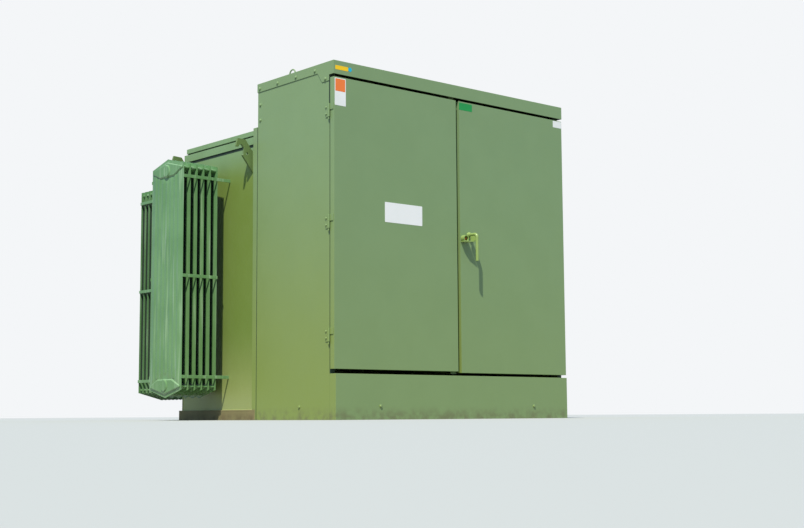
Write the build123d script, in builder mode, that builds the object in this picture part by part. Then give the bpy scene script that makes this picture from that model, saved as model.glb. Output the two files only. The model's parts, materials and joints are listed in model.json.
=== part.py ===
"""Three-phase pad-mounted power transformer in a steel tank with a front terminal cabinet.

All sizes are in millimetres. +X runs along the cabinet front, to the right of a
person facing it, +Y runs to the rear and +Z is up. The origin is at ground level,
in the middle of the whole footprint, handle and radiators included.
"""

import os
from math import cos, radians, sin

from build123d import *

os.makedirs("parts", exist_ok=True)

# Cabinet: two side walls, a bolted back panel and a hood over an open-bottomed housing
cabinet_width = 1981
cabinet_depth = 782
cabinet_height = 2117
cabinet_sheet = 3
lap_gap = 1
wall_return = 40
panel_lap = 40
roof_step = 285

# Hood: folded lid whose side lips drop in an S-curve to a bolted ear at each front corner
hood_front_lip = 82
hood_side_lip = 55
hood_rear_lip = 55
hood_ear_drop = 117
hood_ear_front = 45
hood_ear_back = 113
hood_ear_slope = 44
hood_ear_fillet = 12
eye_inset = 60
eye_depth = 493
eye_radius = 20
eye_bar = 9
eye_leg = 12
eye_bends = 6

# Doors: folded pans, hinged on the outer corners
door_depth = 38
door_sheet = 3
door_top_gap = 17
door_lip = 22
door_back_gap = 5
door_gap = 27
door_gap_offset = 10
left_door_bottom = 294
right_door_bottom = 286
stiffener_width = 60
stiffener_depth = 20
stiffener_shares = (1 / 3, 2 / 3)

# Hinges: lift-off pins on plates outside the wall and the door edge
hinge_from_bottom = 198
hinge_from_top = 198
hinge_length = 80
hinge_split = 42
hinge_axis_out = 9
hinge_knuckle_radius = 7
hinge_pin_radius = 4
hinge_pin_tail = 16
hinge_leaf = 30
hinge_plate = 4
hinge_setback = 2
hinge_leaf_clearance = 1
running_clearance = 0.05
knuckle_gap = 0.3

# Handle: a bent round bar that turns in a boss on the right door
handle_inset = 75
handle_z = 1160
handle_bar_radius = 10
handle_standoff = 75
handle_clear_hole = 26
handle_drop = 172
handle_bend = 22
handle_bends = 3
handle_boss_radius = 19
handle_boss_length = 20
handle_shaft_radius = 8
handle_tail = 26
handle_cam_length = 70
handle_cam_width = 30
handle_cam_plate = 6
handle_web_plate = 5
handle_web_drop = 42
handle_web_clearance = 5
bolt_cup_offset = 50
bolt_cup_drop = 27
bolt_cup_radius = 22.5
bolt_cup_bore = 16
bolt_cup_length = 31
bolt_cup_floor = 6
hasp_plate = 5
hasp_depth = 60
hasp_side_depth = 28
hasp_corner_width = 17
hasp_corner_depth = 46

# Sill: the fixed pan below the doors
sill_height = 267
sill_reach = 14
sill_sheet = 3
sill_short = 10
sill_lip = 25

# Tank: welded plate box on a channel frame, with a bolted pan cover
tank_depth = 873
tank_inset = 15
tank_plate = 8
front_plate_rise = 8
front_plate = 10
flange_depth = 44
flange_plate = 6
base_height = 54
base_member = 90
base_web = 9
floor_plate = 10
floor_rear_lip = 22
band_height = 50
band_proud = 6
band_width = 60
band_plate = 10
gasket_height = 11
gasket_inset = 8
gasket_width = 40
cover_inset = 20
cover_height = 32
cover_plate = 8

# Lifting lugs: flame-cut hooks that stand out of the tank side
lug_plate = 16
lug_base_height = 139
lug_top_gap = 40
lug_reach = 133
lug_front_inset = 73
lug_rear_inset = 35
lug_hole_radius = 9
lug_hole_reach = 48
lug_hole_drop = 22
lug_crown_reach = 117
lug_crown_rise = 70
lug_shoulder_reach = 58
lug_shoulder_rise = 66
lug_step_reach = 13
lug_step_rise = 5
lug_tip_rise = 17
lug_neck_reach = 71
lug_neck_drop = 27
lug_spur_reach = 82
lug_spur_drop = 35
lug_throat_radius = 16
lug_throat_reach = 94

# Radiators: pressed panels on hexagonal headers drawn out of their ends
panel_width = 380
panel_pitch = 50
panel_thickness = 8
panel_shoulder = 29
panel_peak = 50
header_from_wall_top = 147
header_bottom = 220
header_half_width = 180
header_flat_half = 88
header_flat_reach = 41
header_shoulder = 7
header_peak_reach = 68
outlet_radius = 38
outlet_sides = 8
side_first_panel = 97
boss_radius = 42
boss_height = 14
boss_top_radius = 34
flute_count = 7
flute_pitch = 48
flute_half_width = 17
flute_crest_half = 9
flute_height = 5
flute_from_header = 65
flute_slope = 0.35
bar_height = 20
bar_plate = 6
bar_from_header = 52
side_panels = 6
rear_panels = 12
side_radiator_centre = 1301
rear_radiator_count = 4
rear_radiator_margin = 50.5
rear_first_panel = 97

# Compartment gear, on the tank's front plate
barrier_plate = 6
barrier_sill_gap = 13
barrier_top_gap = 24
barrier_flange = 50
barrier_setback = 60
bushing_flange_radius = 62
bushing_flange_height = 14
bushing_body_radius = 46
bushing_nose_radius = 30
bushing_body_length = 110
hv_bushing_count = 3
hv_bushing_pitch = 260
hv_bushing_drop = 650
stand_width = 70
stand_plate = 6
stand_depth = 80
fuse_pitch = 190
fuse_drop = 320
fuse_radius = 24
fuse_length = 90
fuse_cap_radius = 30
fuse_cap_length = 40
lv_bushing_count = 4
lv_bushing_pitch = 195
lv_bushing_drop = 540
lv_body_radius = 48
lv_body_length = 60
lv_stud_radius = 16
lv_stud_length = 70
spade_width = 90
spade_height = 134
spade_plate = 13
spade_hole_radius = 7
spade_hole_drop = 40
round_sides = 12
turned_sides = 12
gauge_pitch = 180
gauge_drop = 200
gauge_radius = 62
gauge_length = 38
gauge_bezel = 5
relief_offset = 200
relief_radius = 24
relief_length = 60
valve_offset = 120
valve_z = 200
valve_radius = 22
valve_length = 90
valve_bonnet_radius = 16
valve_bonnet_height = 48
valve_wheel_radius = 36
valve_wheel_plate = 8
ground_pad = 70
ground_pad_plate = 16
ground_pad_z = 120
ground_pad_inset = 160
ground_bore = 7

# Places worked out from the sizes above
handle_reach = handle_standoff + handle_bar_radius
rear_reach = rear_first_panel + (rear_panels - 1) * panel_pitch + panel_thickness / 2 + boss_height
overall_depth = handle_reach + cabinet_depth + tank_depth + rear_reach
left = -cabinet_width / 2
right = cabinet_width / 2
front = handle_reach - overall_depth / 2
plate_y = front + cabinet_depth
tank_left = left + tank_inset
tank_right = right - tank_inset
tank_rear = plate_y + tank_depth
wall_face = left + cabinet_sheet + lap_gap
wall_front = front + door_depth + door_back_gap
floor_top = base_height + floor_plate
hood_under = cabinet_height - cabinet_sheet
cover_bottom = cabinet_height - roof_step - cover_height
band_top = cover_bottom - gasket_height
tank_wall_top = band_top - band_height
front_plate_top = cover_bottom + cover_height + front_plate_rise
door_top = cabinet_height - hood_front_lip - door_top_gap
gap_middle = door_gap_offset
left_door_right = gap_middle - door_gap / 2
right_door_left = gap_middle + door_gap / 2
right_door_right = -wall_face
header_top = tank_wall_top - header_from_wall_top
panel_top = header_top + panel_shoulder
panel_bottom = header_bottom - panel_shoulder
pivot_x = right_door_left + handle_inset
hv_middle = (wall_face + gap_middle) / 2
lv_middle = (gap_middle - wall_face) / 2
hinge_x = wall_face - hinge_axis_out
hinge_y = wall_front - door_back_gap / 2


def write(piece: BuildPart, name: str):
    """Label a finished piece and write it to its own STEP file."""
    piece.part.label = name
    export_step(piece.part, f"parts/{name}.step")


def block(x0: float, y0: float, z0: float, x1: float, y1: float, z1: float, mode: Mode = Mode.ADD):
    """Add a rectangular block between two opposite corners to the open part."""
    with BuildSketch(Plane.XY.offset(z0)) as base:
        with Locations(((x0 + x1) / 2, (y0 + y1) / 2)):
            Rectangle(x1 - x0, y1 - y0)
    extrude(base.sketch, amount=z1 - z0, mode=mode)


def ring(x_out: float, y_front: float, y_rear: float, width: float, z0: float, z1: float):
    """Add a rectangular ring of even width, x_out being its half length along X."""
    middle = (y_front + y_rear) / 2
    with BuildSketch(Plane.XY.offset(z0)) as base:
        with Locations((0, middle)):
            Rectangle(2 * x_out, y_rear - y_front)
            Rectangle(2 * (x_out - width), y_rear - y_front - 2 * width, mode=Mode.SUBTRACT)
    extrude(base.sketch, amount=z1 - z0)


def facing_front(x: float, z: float, y: float) -> Plane:
    """Plane at a point of the cabinet, its normal towards the front, its X axis along +X."""
    return Plane(origin=(x, y, z), x_dir=(1, 0, 0), z_dir=(0, -1, 0))


def spread(middle: float, count: int, pitch: float) -> list:
    """Give the X places of a row of like pieces about a middle."""
    return [middle + (number - (count - 1) / 2) * pitch for number in range(count)]


# Base frame: four channels, open towards the middle, welded at the corners
with BuildPart() as tank_base:
    base_front = plate_y + front_plate
    base_rear = tank_rear + floor_rear_lip
    ring(right, base_front, base_rear, base_member, 0, base_height)
    with BuildSketch(Plane.XY.offset(base_web)):
        with Locations((0, (base_front + base_rear) / 2)):
            Rectangle(cabinet_width - 2 * base_web, base_rear - base_front - 2 * base_web)
    extrude(amount=base_height - 2 * base_web, mode=Mode.SUBTRACT)
write(tank_base, "tank_base")

with BuildPart() as tank_floor:
    block(left, base_front, base_height, right, base_rear, floor_top)
write(tank_floor, "tank_floor")

# Tank walls
with BuildPart() as tank_left_wall:
    block(tank_left, base_front, floor_top, tank_left + tank_plate, tank_rear, tank_wall_top)
write(tank_left_wall, "tank_left_wall")

with BuildPart() as tank_right_wall:
    add(tank_left_wall.part.mirror(Plane.YZ))
write(tank_right_wall, "tank_right_wall")

with BuildPart() as tank_rear_wall:
    inner_left, inner_right = tank_left + tank_plate, tank_right - tank_plate
    block(inner_left, tank_rear - tank_plate, floor_top, inner_right, tank_rear, tank_wall_top)
write(tank_rear_wall, "tank_rear_wall")

# Front plate of the tank, with a folded flange down each side
with BuildPart() as tank_front_plate:
    block(left, plate_y, 0, right, plate_y + front_plate, front_plate_top)
    for x0 in (left, right - flange_plate):
        block(x0, plate_y, floor_top, x0 + flange_plate, plate_y + flange_depth, front_plate_top)
write(tank_front_plate, "tank_front_plate")

# Angle ring around the tank mouth
with BuildPart() as tank_band:
    band_front = base_front
    band_rear = tank_rear + band_proud
    ring(tank_right + band_proud, band_front, band_rear, band_plate, tank_wall_top, band_top)
    ring(tank_right + band_proud, band_front, band_rear, band_width, band_top - band_plate, band_top)
write(tank_band, "tank_band")

with BuildPart() as cover_gasket:
    gasket_x = right - cover_inset - gasket_inset
    gasket_front, gasket_rear = base_front + gasket_inset, tank_rear - gasket_inset
    ring(gasket_x, gasket_front, gasket_rear, gasket_width, band_top, cover_bottom)
write(cover_gasket, "cover_gasket")

# Bolted pan cover
with BuildPart() as tank_cover:
    cover_x = right - cover_inset
    cover_rear = tank_rear - cover_inset + tank_inset
    block(-cover_x, base_front, cover_bottom, cover_x, cover_rear, cover_bottom + cover_height)
    block(
        -cover_x + band_width, base_front + band_width, cover_bottom,
        cover_x - band_width, cover_rear - band_width, cover_bottom + cover_height - cover_plate,
        mode=Mode.SUBTRACT,
    )
write(tank_cover, "tank_cover")

# Cabinet side wall: sheet with a return flange at the door edge and one at the tank
with BuildPart() as cabinet_left_wall:
    wall_inner = wall_face + cabinet_sheet
    wall_rear = plate_y
    block(wall_face, wall_front, 0, wall_inner, wall_rear, hood_under)
    block(wall_face, wall_front, 0, wall_face + wall_return, wall_front + cabinet_sheet, hood_under)
    block(wall_face, wall_rear - cabinet_sheet, 0, wall_face + wall_return, wall_rear, hood_under)
write(cabinet_left_wall, "cabinet_left_wall")

with BuildPart() as cabinet_right_wall:
    add(cabinet_left_wall.part.mirror(Plane.YZ))
write(cabinet_right_wall, "cabinet_right_wall")

with BuildPart() as cabinet_back_panel:
    panel_x = -wall_face - wall_return
    block(-panel_x, plate_y - cabinet_sheet, front_plate_top - panel_lap, panel_x, plate_y, hood_under)
write(cabinet_back_panel, "cabinet_back_panel")

# Hood: flat top, lips all round, and a curved ear at each front corner
with BuildPart() as hood:
    hood_rear = plate_y + cabinet_sheet
    side_lip_bottom = cabinet_height - hood_side_lip
    ear_bottom = cabinet_height - hood_ear_drop
    block(left, front, cabinet_height - cabinet_sheet, right, hood_rear, cabinet_height)
    block(left, front, cabinet_height - hood_front_lip, right, front + cabinet_sheet, cabinet_height)
    block(left, hood_rear - cabinet_sheet, cabinet_height - hood_rear_lip, right, hood_rear, cabinet_height)
    with BuildSketch(Plane.YZ.offset(left)) as lip_profile:
        with BuildLine():
            Polyline(
                (front, cabinet_height),
                (front, cabinet_height - hood_front_lip),
                (front + hood_ear_front, cabinet_height - hood_front_lip),
                (front + hood_ear_front, ear_bottom),
                (front + hood_ear_back, ear_bottom),
                (front + hood_ear_back + hood_ear_slope, side_lip_bottom),
                (hood_rear, side_lip_bottom),
                (hood_rear, cabinet_height),
                close=True,
            )
        make_face()
        ear_slope_end = front + hood_ear_back + hood_ear_slope
        ear_corners = lip_profile.vertices().filter_by_position(Axis.Y, front + hood_ear_front, ear_slope_end)
        fillet(ear_corners.filter_by_position(Axis.Z, ear_bottom, side_lip_bottom), hood_ear_fillet)
    extrude(lip_profile.sketch, amount=cabinet_sheet)
    with Locations((right - left - cabinet_sheet, 0, 0)):
        add(extrude(lip_profile.sketch, amount=cabinet_sheet, mode=Mode.PRIVATE))
write(hood, "hood")

# Lifting eyes: bent bar loops welded to the hood, drawn with a six-sided bar in short straight runs
with BuildPart() as hood_lifting_eyes:
    for x in (left + eye_inset, right - eye_inset):
        eye_base = Plane(origin=(x, front + eye_depth, cabinet_height), x_dir=(0, 1, 0), z_dir=(1, 0, 0))
        turns = [radians(180 * step / eye_bends) for step in range(eye_bends + 1)]
        bends = [(-eye_radius * cos(turn), eye_leg + eye_radius * sin(turn)) for turn in turns]
        with BuildLine(eye_base) as eye_path:
            Polyline((-eye_radius, 0), *bends, (eye_radius, 0))
        with BuildSketch(Plane(origin=eye_path.line @ 0, z_dir=eye_path.line % 0)):
            RegularPolygon(eye_bar / 2, 6)
        sweep(path=eye_path.line, transition=Transition.RIGHT)
write(hood_lifting_eyes, "hood_lifting_eyes")

# Sill: folded pan below the doors
with BuildPart() as front_sill:
    sill_left = wall_face
    sill_right = -wall_face - sill_short
    sill_front = front - sill_reach
    block(sill_left, sill_front, 0, sill_right, sill_front + sill_sheet, sill_height)
    block(sill_left, sill_front, sill_height - sill_sheet, sill_right, wall_front, sill_height)
    for x0 in (sill_left, sill_right - sill_sheet):
        block(x0, sill_front, 0, x0 + sill_sheet, wall_front, sill_height)
    for x0 in (sill_left, sill_right - sill_lip):
        block(x0, wall_front - sill_sheet, 0, x0 + sill_lip, wall_front, sill_height)
write(front_sill, "front_sill")


def door_pan(x0: float, x1: float, z0: float, z1: float):
    """Add a door pan: front sheet, four returns and a narrow lip around the back."""
    block(x0, front, z0, x1, front + door_depth, z1)
    block(
        x0 + door_sheet, front + door_sheet, z0 + door_sheet,
        x1 - door_sheet, front + door_depth - door_sheet, z1 - door_sheet,
        mode=Mode.SUBTRACT,
    )
    block(
        x0 + door_lip, front + door_depth - door_sheet, z0 + door_lip,
        x1 - door_lip, front + door_depth, z1 - door_lip,
        mode=Mode.SUBTRACT,
    )


def stiffeners(positions: tuple, z0: float, z1: float):
    """Add hat-section stiffeners, upright behind a door sheet, that fit between its returns."""
    for x in positions:
        half = stiffener_width / 2
        back = front + door_sheet + stiffener_depth
        block(x - half, front + door_sheet, z0, x + half, back, z1)
        block(
            x - half + door_sheet, front + door_sheet, z0,
            x + half - door_sheet, back - door_sheet, z1, mode=Mode.SUBTRACT,
        )


left_door_width = left_door_right - wall_face
right_door_width = right_door_right - right_door_left

with BuildPart() as left_door:
    door_pan(wall_face, left_door_right, left_door_bottom, door_top)
write(left_door, "left_door")

with BuildPart() as right_door:
    door_pan(right_door_left, right_door_right, right_door_bottom, door_top)
    with BuildSketch(facing_front(pivot_x, handle_z, front)):
        Rectangle(handle_clear_hole, handle_clear_hole)
    extrude(amount=-door_sheet, mode=Mode.SUBTRACT)
write(right_door, "right_door")

with BuildPart() as left_door_stiffeners:
    stiffener_x = [wall_face + left_door_width * share for share in stiffener_shares]
    stiffeners(stiffener_x, left_door_bottom + door_sheet, door_top - door_sheet)
write(left_door_stiffeners, "left_door_stiffeners")

with BuildPart() as right_door_stiffeners:
    stiffener_x = [right_door_left + right_door_width * share for share in stiffener_shares]
    stiffeners(stiffener_x, right_door_bottom + door_sheet, door_top - door_sheet)
write(right_door_stiffeners, "right_door_stiffeners")


def upright(radius: float, z_low: float, z_high: float, mode: Mode = Mode.ADD):
    """Add or cut a round bar on the left hinge axis, between two heights."""
    with BuildSketch(Plane.XY.offset(z_low)) as section:
        with Locations((hinge_x, hinge_y)):
            Circle(radius)
    extrude(section.sketch, amount=z_high - z_low, mode=mode)


def upright_prism(radius: float, z_low: float, z_high: float):
    """Add a many-sided bar on the left hinge axis, for round stretches that nothing turns on."""
    with BuildSketch(Plane.XY.offset(z_low)) as section:
        with Locations((hinge_x, hinge_y)):
            RegularPolygon(radius, round_sides)
    extrude(section.sketch, amount=z_high - z_low)


def hinge_half(z_low: float, z_high: float, y_edge: float, y_far: float, leaf_top: float):
    """Add one hinge half on the left corner: a plate on the sheet, folded round to its knuckle.

    The plate runs up to leaf_top, and the fold and its knuckle only to z_high.
    """
    block(wall_face - hinge_plate, min(y_edge, y_far), z_low, wall_face, max(y_edge, y_far), leaf_top)
    fold_front, fold_rear = min(y_edge, hinge_y), max(y_edge, hinge_y)
    block(hinge_x, fold_front, z_low, wall_face, fold_rear, z_high)
    upright_prism(hinge_knuckle_radius, z_low, z_high)


hinge_low = left_door_bottom + hinge_from_bottom
hinge_high = door_top - hinge_from_top
hinge_heights = (hinge_low, (hinge_low + hinge_high) / 2, hinge_high)

# Wall halves carry the pins, which stand up into the door halves
with BuildPart() as left_wall_hinges:
    for z in hinge_heights:
        z_low = z - hinge_length / 2
        z_split = z_low + hinge_split
        y_edge = hinge_y + hinge_knuckle_radius + hinge_leaf_clearance
        hinge_half(z_low, z_split, y_edge, y_edge + hinge_leaf, z_low + hinge_length)
        upright_prism(hinge_pin_radius, z_low - hinge_pin_tail, z_low)
        upright(hinge_pin_radius, z_split, z_low + hinge_length)
write(left_wall_hinges, "left_wall_hinges")

with BuildPart() as right_wall_hinges:
    add(left_wall_hinges.part.mirror(Plane.YZ))
write(right_wall_hinges, "right_wall_hinges")

with BuildPart() as left_door_hinges:
    for z in hinge_heights:
        z_low = z - hinge_length / 2 + hinge_split + knuckle_gap
        z_high = z + hinge_length / 2
        y_edge = front + door_depth - hinge_setback
        hinge_half(z_low, z_high, y_edge, y_edge - hinge_leaf, z_high)
        upright(hinge_pin_radius + running_clearance, z_low, z_high, mode=Mode.SUBTRACT)
write(left_door_hinges, "left_door_hinges")

with BuildPart() as right_door_hinges:
    add(left_door_hinges.part.mirror(Plane.YZ))
write(right_door_hinges, "right_door_hinges")

# Hasp beside the handle: a cup for the locking bolt on a shelf that runs to the handle's web
with BuildPart() as handle_hasp:
    cup_x = pivot_x - bolt_cup_offset
    cup_z = handle_z - bolt_cup_drop
    with BuildSketch(facing_front(cup_x, cup_z, front)):
        RegularPolygon(bolt_cup_radius, turned_sides)
    extrude(amount=bolt_cup_length)
    with BuildSketch(facing_front(cup_x, cup_z, front - bolt_cup_floor)):
        RegularPolygon(bolt_cup_bore, turned_sides)
    extrude(amount=bolt_cup_length, mode=Mode.SUBTRACT)
    shelf_left = cup_x - bolt_cup_radius
    shelf_right = pivot_x - handle_web_plate / 2 - handle_web_clearance
    with BuildSketch(Plane.XY.offset(cup_z - bolt_cup_radius)):
        with BuildLine():
            Polyline(
                (shelf_left, front), (shelf_left, front - hasp_side_depth),
                (shelf_left + hasp_corner_width, front - hasp_corner_depth),
                (shelf_right, front - hasp_depth), (shelf_right, front),
                close=True,
            )
        make_face()
    extrude(amount=hasp_plate)
write(handle_hasp, "handle_hasp")

# Boss that the handle's shaft turns in
with BuildPart() as handle_boss:
    with BuildSketch(facing_front(pivot_x, handle_z, front)):
        RegularPolygon(handle_boss_radius, turned_sides)
        Circle(handle_shaft_radius + running_clearance, mode=Mode.SUBTRACT)
    extrude(amount=handle_boss_length)
write(handle_boss, "handle_boss")

# Bent bar handle on a shaft through the door, with a web in its bend and a latch cam behind the door
with BuildPart() as door_handle:
    bar_y = front - handle_standoff
    shaft_back = front + door_sheet + handle_tail
    shaft_front = front - handle_boss_length - knuckle_gap
    with BuildSketch(facing_front(pivot_x, handle_z, shaft_back)):
        Circle(handle_shaft_radius)
    extrude(amount=shaft_back - shaft_front)
    side_view = Plane(origin=(pivot_x, 0, 0), x_dir=(0, 1, 0), z_dir=(1, 0, 0))
    turns = [radians(90 * step / handle_bends) for step in range(handle_bends + 1)]
    bend_y, bend_z = bar_y + handle_bend, handle_z - handle_bend
    bends = [(bend_y - handle_bend * sin(turn), bend_z + handle_bend * cos(turn)) for turn in turns]
    with BuildLine(side_view) as handle_path:
        Polyline((shaft_front, handle_z), *bends, (bar_y, handle_z - handle_drop))
    with BuildSketch(facing_front(pivot_x, handle_z, shaft_front)):
        RegularPolygon(handle_bar_radius, round_sides)
    sweep(path=handle_path.line, transition=Transition.RIGHT)
    web_bottom = handle_z - handle_web_drop
    with BuildSketch(side_view):
        with BuildLine():
            Polyline(
                (shaft_front, web_bottom), (shaft_front, handle_z), (bend_y, handle_z),
                (bar_y, bend_z), (bar_y, web_bottom),
                close=True,
            )
        make_face()
    extrude(amount=handle_web_plate / 2, both=True)
    cam_bottom = handle_z - handle_cam_length + handle_cam_width / 2
    cam_half = handle_cam_width / 2
    cam_front = shaft_back - handle_cam_plate
    block(pivot_x - cam_half, cam_front, cam_bottom, pivot_x + cam_half, shaft_back, handle_z + cam_half)
write(door_handle, "door_handle")

# Lifting lugs: hook outline in the X-Z plane, from the tank's left wall outwards, on both sides
with BuildPart() as lifting_lugs:
    lug_top = tank_wall_top - lug_top_gap
    for lug_y in (plate_y + lug_front_inset, tank_rear - lug_rear_inset):
        with BuildSketch(Plane(origin=(tank_left, lug_y, lug_top), x_dir=(-1, 0, 0), z_dir=(0, 1, 0))):
            with BuildLine():
                Polyline(
                    (0, -lug_base_height), (0, 0), (lug_step_reach, lug_step_rise),
                    (lug_shoulder_reach, lug_shoulder_rise), (lug_crown_reach, lug_crown_rise),
                    (lug_reach, lug_tip_rise), (lug_neck_reach, lug_tip_rise),
                    (lug_neck_reach, -lug_neck_drop), (lug_spur_reach, -lug_spur_drop),
                    close=True,
                )
            make_face()
            with Locations((lug_throat_reach, lug_tip_rise)):
                RegularPolygon(lug_throat_radius, round_sides, mode=Mode.SUBTRACT)
            with Locations((lug_hole_reach, -lug_hole_drop)):
                Circle(lug_hole_radius, mode=Mode.SUBTRACT)
        extrude(amount=lug_plate / 2, both=True)
    add(lifting_lugs.part.mirror(Plane.YZ))
write(lifting_lugs, "lifting_lugs")


def header_outline(centre_z: float, outwards: int):
    """Add a header's outline to the open sketch: peaked like the panel's end, flat on the inner side.

    outwards is 1 for the top header, whose peak is up, and -1 for the bottom one.
    """
    shoulder = centre_z + outwards * header_shoulder
    flat = centre_z - outwards * header_flat_reach
    peak = centre_z + outwards * header_peak_reach
    with BuildLine() as outline:
        Polyline(
            (-header_half_width, shoulder), (-header_flat_half, flat), (header_flat_half, flat),
            (header_half_width, shoulder), (0, peak),
            close=True,
        )
    make_face(outline.edges())


def panel_outline():
    """Add a panel's outline to the open sketch: a tall rectangle with a low peak at each end."""
    half = panel_width / 2
    with BuildLine() as outline:
        Polyline(
            (-half, panel_bottom), (0, panel_bottom - panel_peak), (half, panel_bottom),
            (half, panel_top), (0, panel_top + panel_peak), (-half, panel_top),
            close=True,
        )
    make_face(outline.edges())


def facing_rear(x: float, z: float, y: float) -> Plane:
    """Plane at a point of a radiator, its normal away from the wall it stands on."""
    return Plane(origin=(x, y, z), x_dir=(-1, 0, 0), z_dir=(0, 1, 0))


def radiator(count: int, first_panel: float) -> BuildPart:
    """Build one radiator that stands out of a wall at the origin, along +Y.

    The first panel's middle is first_panel from the wall. The outermost panel shows
    its pressed flutes and the two bosses that close the headers.
    """
    outer_face = first_panel + (count - 1) * panel_pitch + panel_thickness / 2
    with BuildPart() as bank:
        for number in range(count):
            with BuildSketch(Plane.XZ.offset(-first_panel - number * panel_pitch)):
                panel_outline()
            extrude(amount=panel_thickness / 2, both=True)
        for centre_z, outwards in ((header_bottom, -1), (header_top, 1)):
            with BuildSketch(Plane.XZ.offset(-first_panel)):
                header_outline(centre_z, outwards)
            extrude(amount=-(count - 1) * panel_pitch)
            with BuildSketch(Plane.XZ):
                with Locations((0, centre_z)):
                    RegularPolygon(outlet_radius, outlet_sides)
            extrude(amount=-first_panel)
            with BuildSketch(facing_rear(0, centre_z, outer_face)):
                RegularPolygon(boss_radius, turned_sides)
            with BuildSketch(facing_rear(0, centre_z, outer_face + boss_height)):
                RegularPolygon(boss_top_radius, turned_sides)
            loft()
        middle_z = (header_top + header_bottom) / 2
        for x in spread(0, flute_count, flute_pitch):
            length = header_top - header_bottom - 2 * (flute_from_header - flute_slope * abs(x))
            with BuildSketch(facing_rear(x, middle_z, outer_face)):
                Rectangle(2 * flute_half_width, length)
            with BuildSketch(facing_rear(x, middle_z, outer_face + flute_height)):
                Rectangle(2 * flute_crest_half, length - 2 * flute_half_width)
            loft()
    return bank


def radiator_bars(count: int, first_panel: float) -> BuildPart:
    """Build the flat bars across the panel edges of one radiator, with the wall at the origin.

    The top and bottom bars run on to the wall, and the middle one holds only the panels.
    """
    far = first_panel + (count - 1) * panel_pitch + panel_thickness / 2
    near = first_panel - panel_thickness / 2
    bottom_level = header_bottom + bar_from_header
    top_level = header_top - bar_from_header
    starts = {bottom_level: 0, (bottom_level + top_level) / 2: near, top_level: 0}
    with BuildPart() as bars:
        for level, start in starts.items():
            for side in (-1, 1):
                inner = side * panel_width / 2
                outer = side * (panel_width / 2 + bar_plate)
                low, high = level - bar_height / 2, level + bar_height / 2
                block(min(inner, outer), start, low, max(inner, outer), far, high)
    return bars


side_bank = radiator(side_panels, side_first_panel)
side_bars = radiator_bars(side_panels, side_first_panel)
rear_bank = radiator(rear_panels, rear_first_panel)
rear_bars = radiator_bars(rear_panels, rear_first_panel)
left_seat = Location((tank_left, front + side_radiator_centre, 0), (0, 0, 90))
right_seat = Location((tank_right, front + side_radiator_centre, 0), (0, 0, -90))
side_seats = {"left_radiator": left_seat, "right_radiator": right_seat}

for name, seat in side_seats.items():
    with BuildPart() as placed_radiator:
        add(side_bank.part.moved(seat))
    write(placed_radiator, name)

with BuildPart() as side_radiator_bars:
    for seat in side_seats.values():
        add(side_bars.part.moved(seat))
write(side_radiator_bars, "side_radiator_bars")

rear_span = cabinet_width - 2 * rear_radiator_margin - panel_width
rear_radiator_pitch = rear_span / (rear_radiator_count - 1)
rear_seats = [Location((x, tank_rear, 0)) for x in spread(0, rear_radiator_count, rear_radiator_pitch)]
for number, seat in enumerate(rear_seats, start=1):
    with BuildPart() as placed_radiator:
        add(rear_bank.part.moved(seat))
    write(placed_radiator, f"rear_radiator_{number}")

with BuildPart() as rear_radiator_bars:
    for seat in rear_seats:
        add(rear_bars.part.moved(seat))
write(rear_radiator_bars, "rear_radiator_bars")

# Barrier between the high-voltage side, on the left, and the low-voltage side
with BuildPart() as compartment_barrier:
    barrier_x = gap_middle
    barrier_bottom = sill_height + barrier_sill_gap
    barrier_top = hood_under - barrier_top_gap
    barrier_front = front + barrier_setback
    barrier_rear = plate_y - cabinet_sheet
    block(barrier_x, barrier_front, barrier_bottom, barrier_x + barrier_plate, barrier_rear, barrier_top)
    block(
        barrier_x - barrier_flange / 2, barrier_front, barrier_bottom,
        barrier_x + barrier_flange / 2, barrier_front + barrier_plate, barrier_top,
    )
write(compartment_barrier, "compartment_barrier")


def turned(x: float, z: float, steps: tuple):
    """Add a stepped round piece that stands out of the front plate, from (radius, length) pairs."""
    y = plate_y
    for radius, length in steps:
        with BuildSketch(facing_front(x, z, y)) as section:
            RegularPolygon(radius, turned_sides)
        extrude(section.sketch, amount=length)
        y -= length


hv_bushing_x = spread(hv_middle, hv_bushing_count, hv_bushing_pitch)
hv_bushing_z = front_plate_top - hv_bushing_drop
fuse_x = spread(hv_middle, hv_bushing_count, fuse_pitch)
fuse_z = front_plate_top - fuse_drop
lv_bushing_x = spread(lv_middle, lv_bushing_count, lv_bushing_pitch)
lv_bushing_z = front_plate_top - lv_bushing_drop
gauge_x = spread(lv_middle - gauge_pitch, 2, gauge_pitch)
gauge_z = front_plate_top - gauge_drop
ground_pad_x = (left + ground_pad_inset, right - ground_pad_inset)

with BuildPart() as hv_bushings:
    for x in hv_bushing_x:
        turned(x, hv_bushing_z, (
            (bushing_flange_radius, bushing_flange_height),
            (bushing_body_radius, bushing_body_length),
            (bushing_nose_radius, bushing_body_length),
        ))
write(hv_bushings, "hv_bushings")

# Parking stands beside the bushings
with BuildPart() as parking_stands:
    for x in hv_bushing_x:
        x0 = x + bushing_flange_radius + stand_plate
        stand_low, stand_high = hv_bushing_z - stand_width / 2, hv_bushing_z + stand_width / 2
        block(x0, plate_y - stand_depth, stand_low, x0 + stand_plate, plate_y, stand_high)
write(parking_stands, "parking_stands")

with BuildPart() as fuse_holders:
    for x in fuse_x:
        turned(x, fuse_z, ((fuse_radius, fuse_length), (fuse_cap_radius, fuse_cap_length)))
write(fuse_holders, "fuse_holders")

with BuildPart() as lv_bushings:
    for x in lv_bushing_x:
        turned(x, lv_bushing_z, ((lv_body_radius, lv_body_length), (lv_stud_radius, lv_stud_length)))
write(lv_bushings, "lv_bushings")

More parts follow.
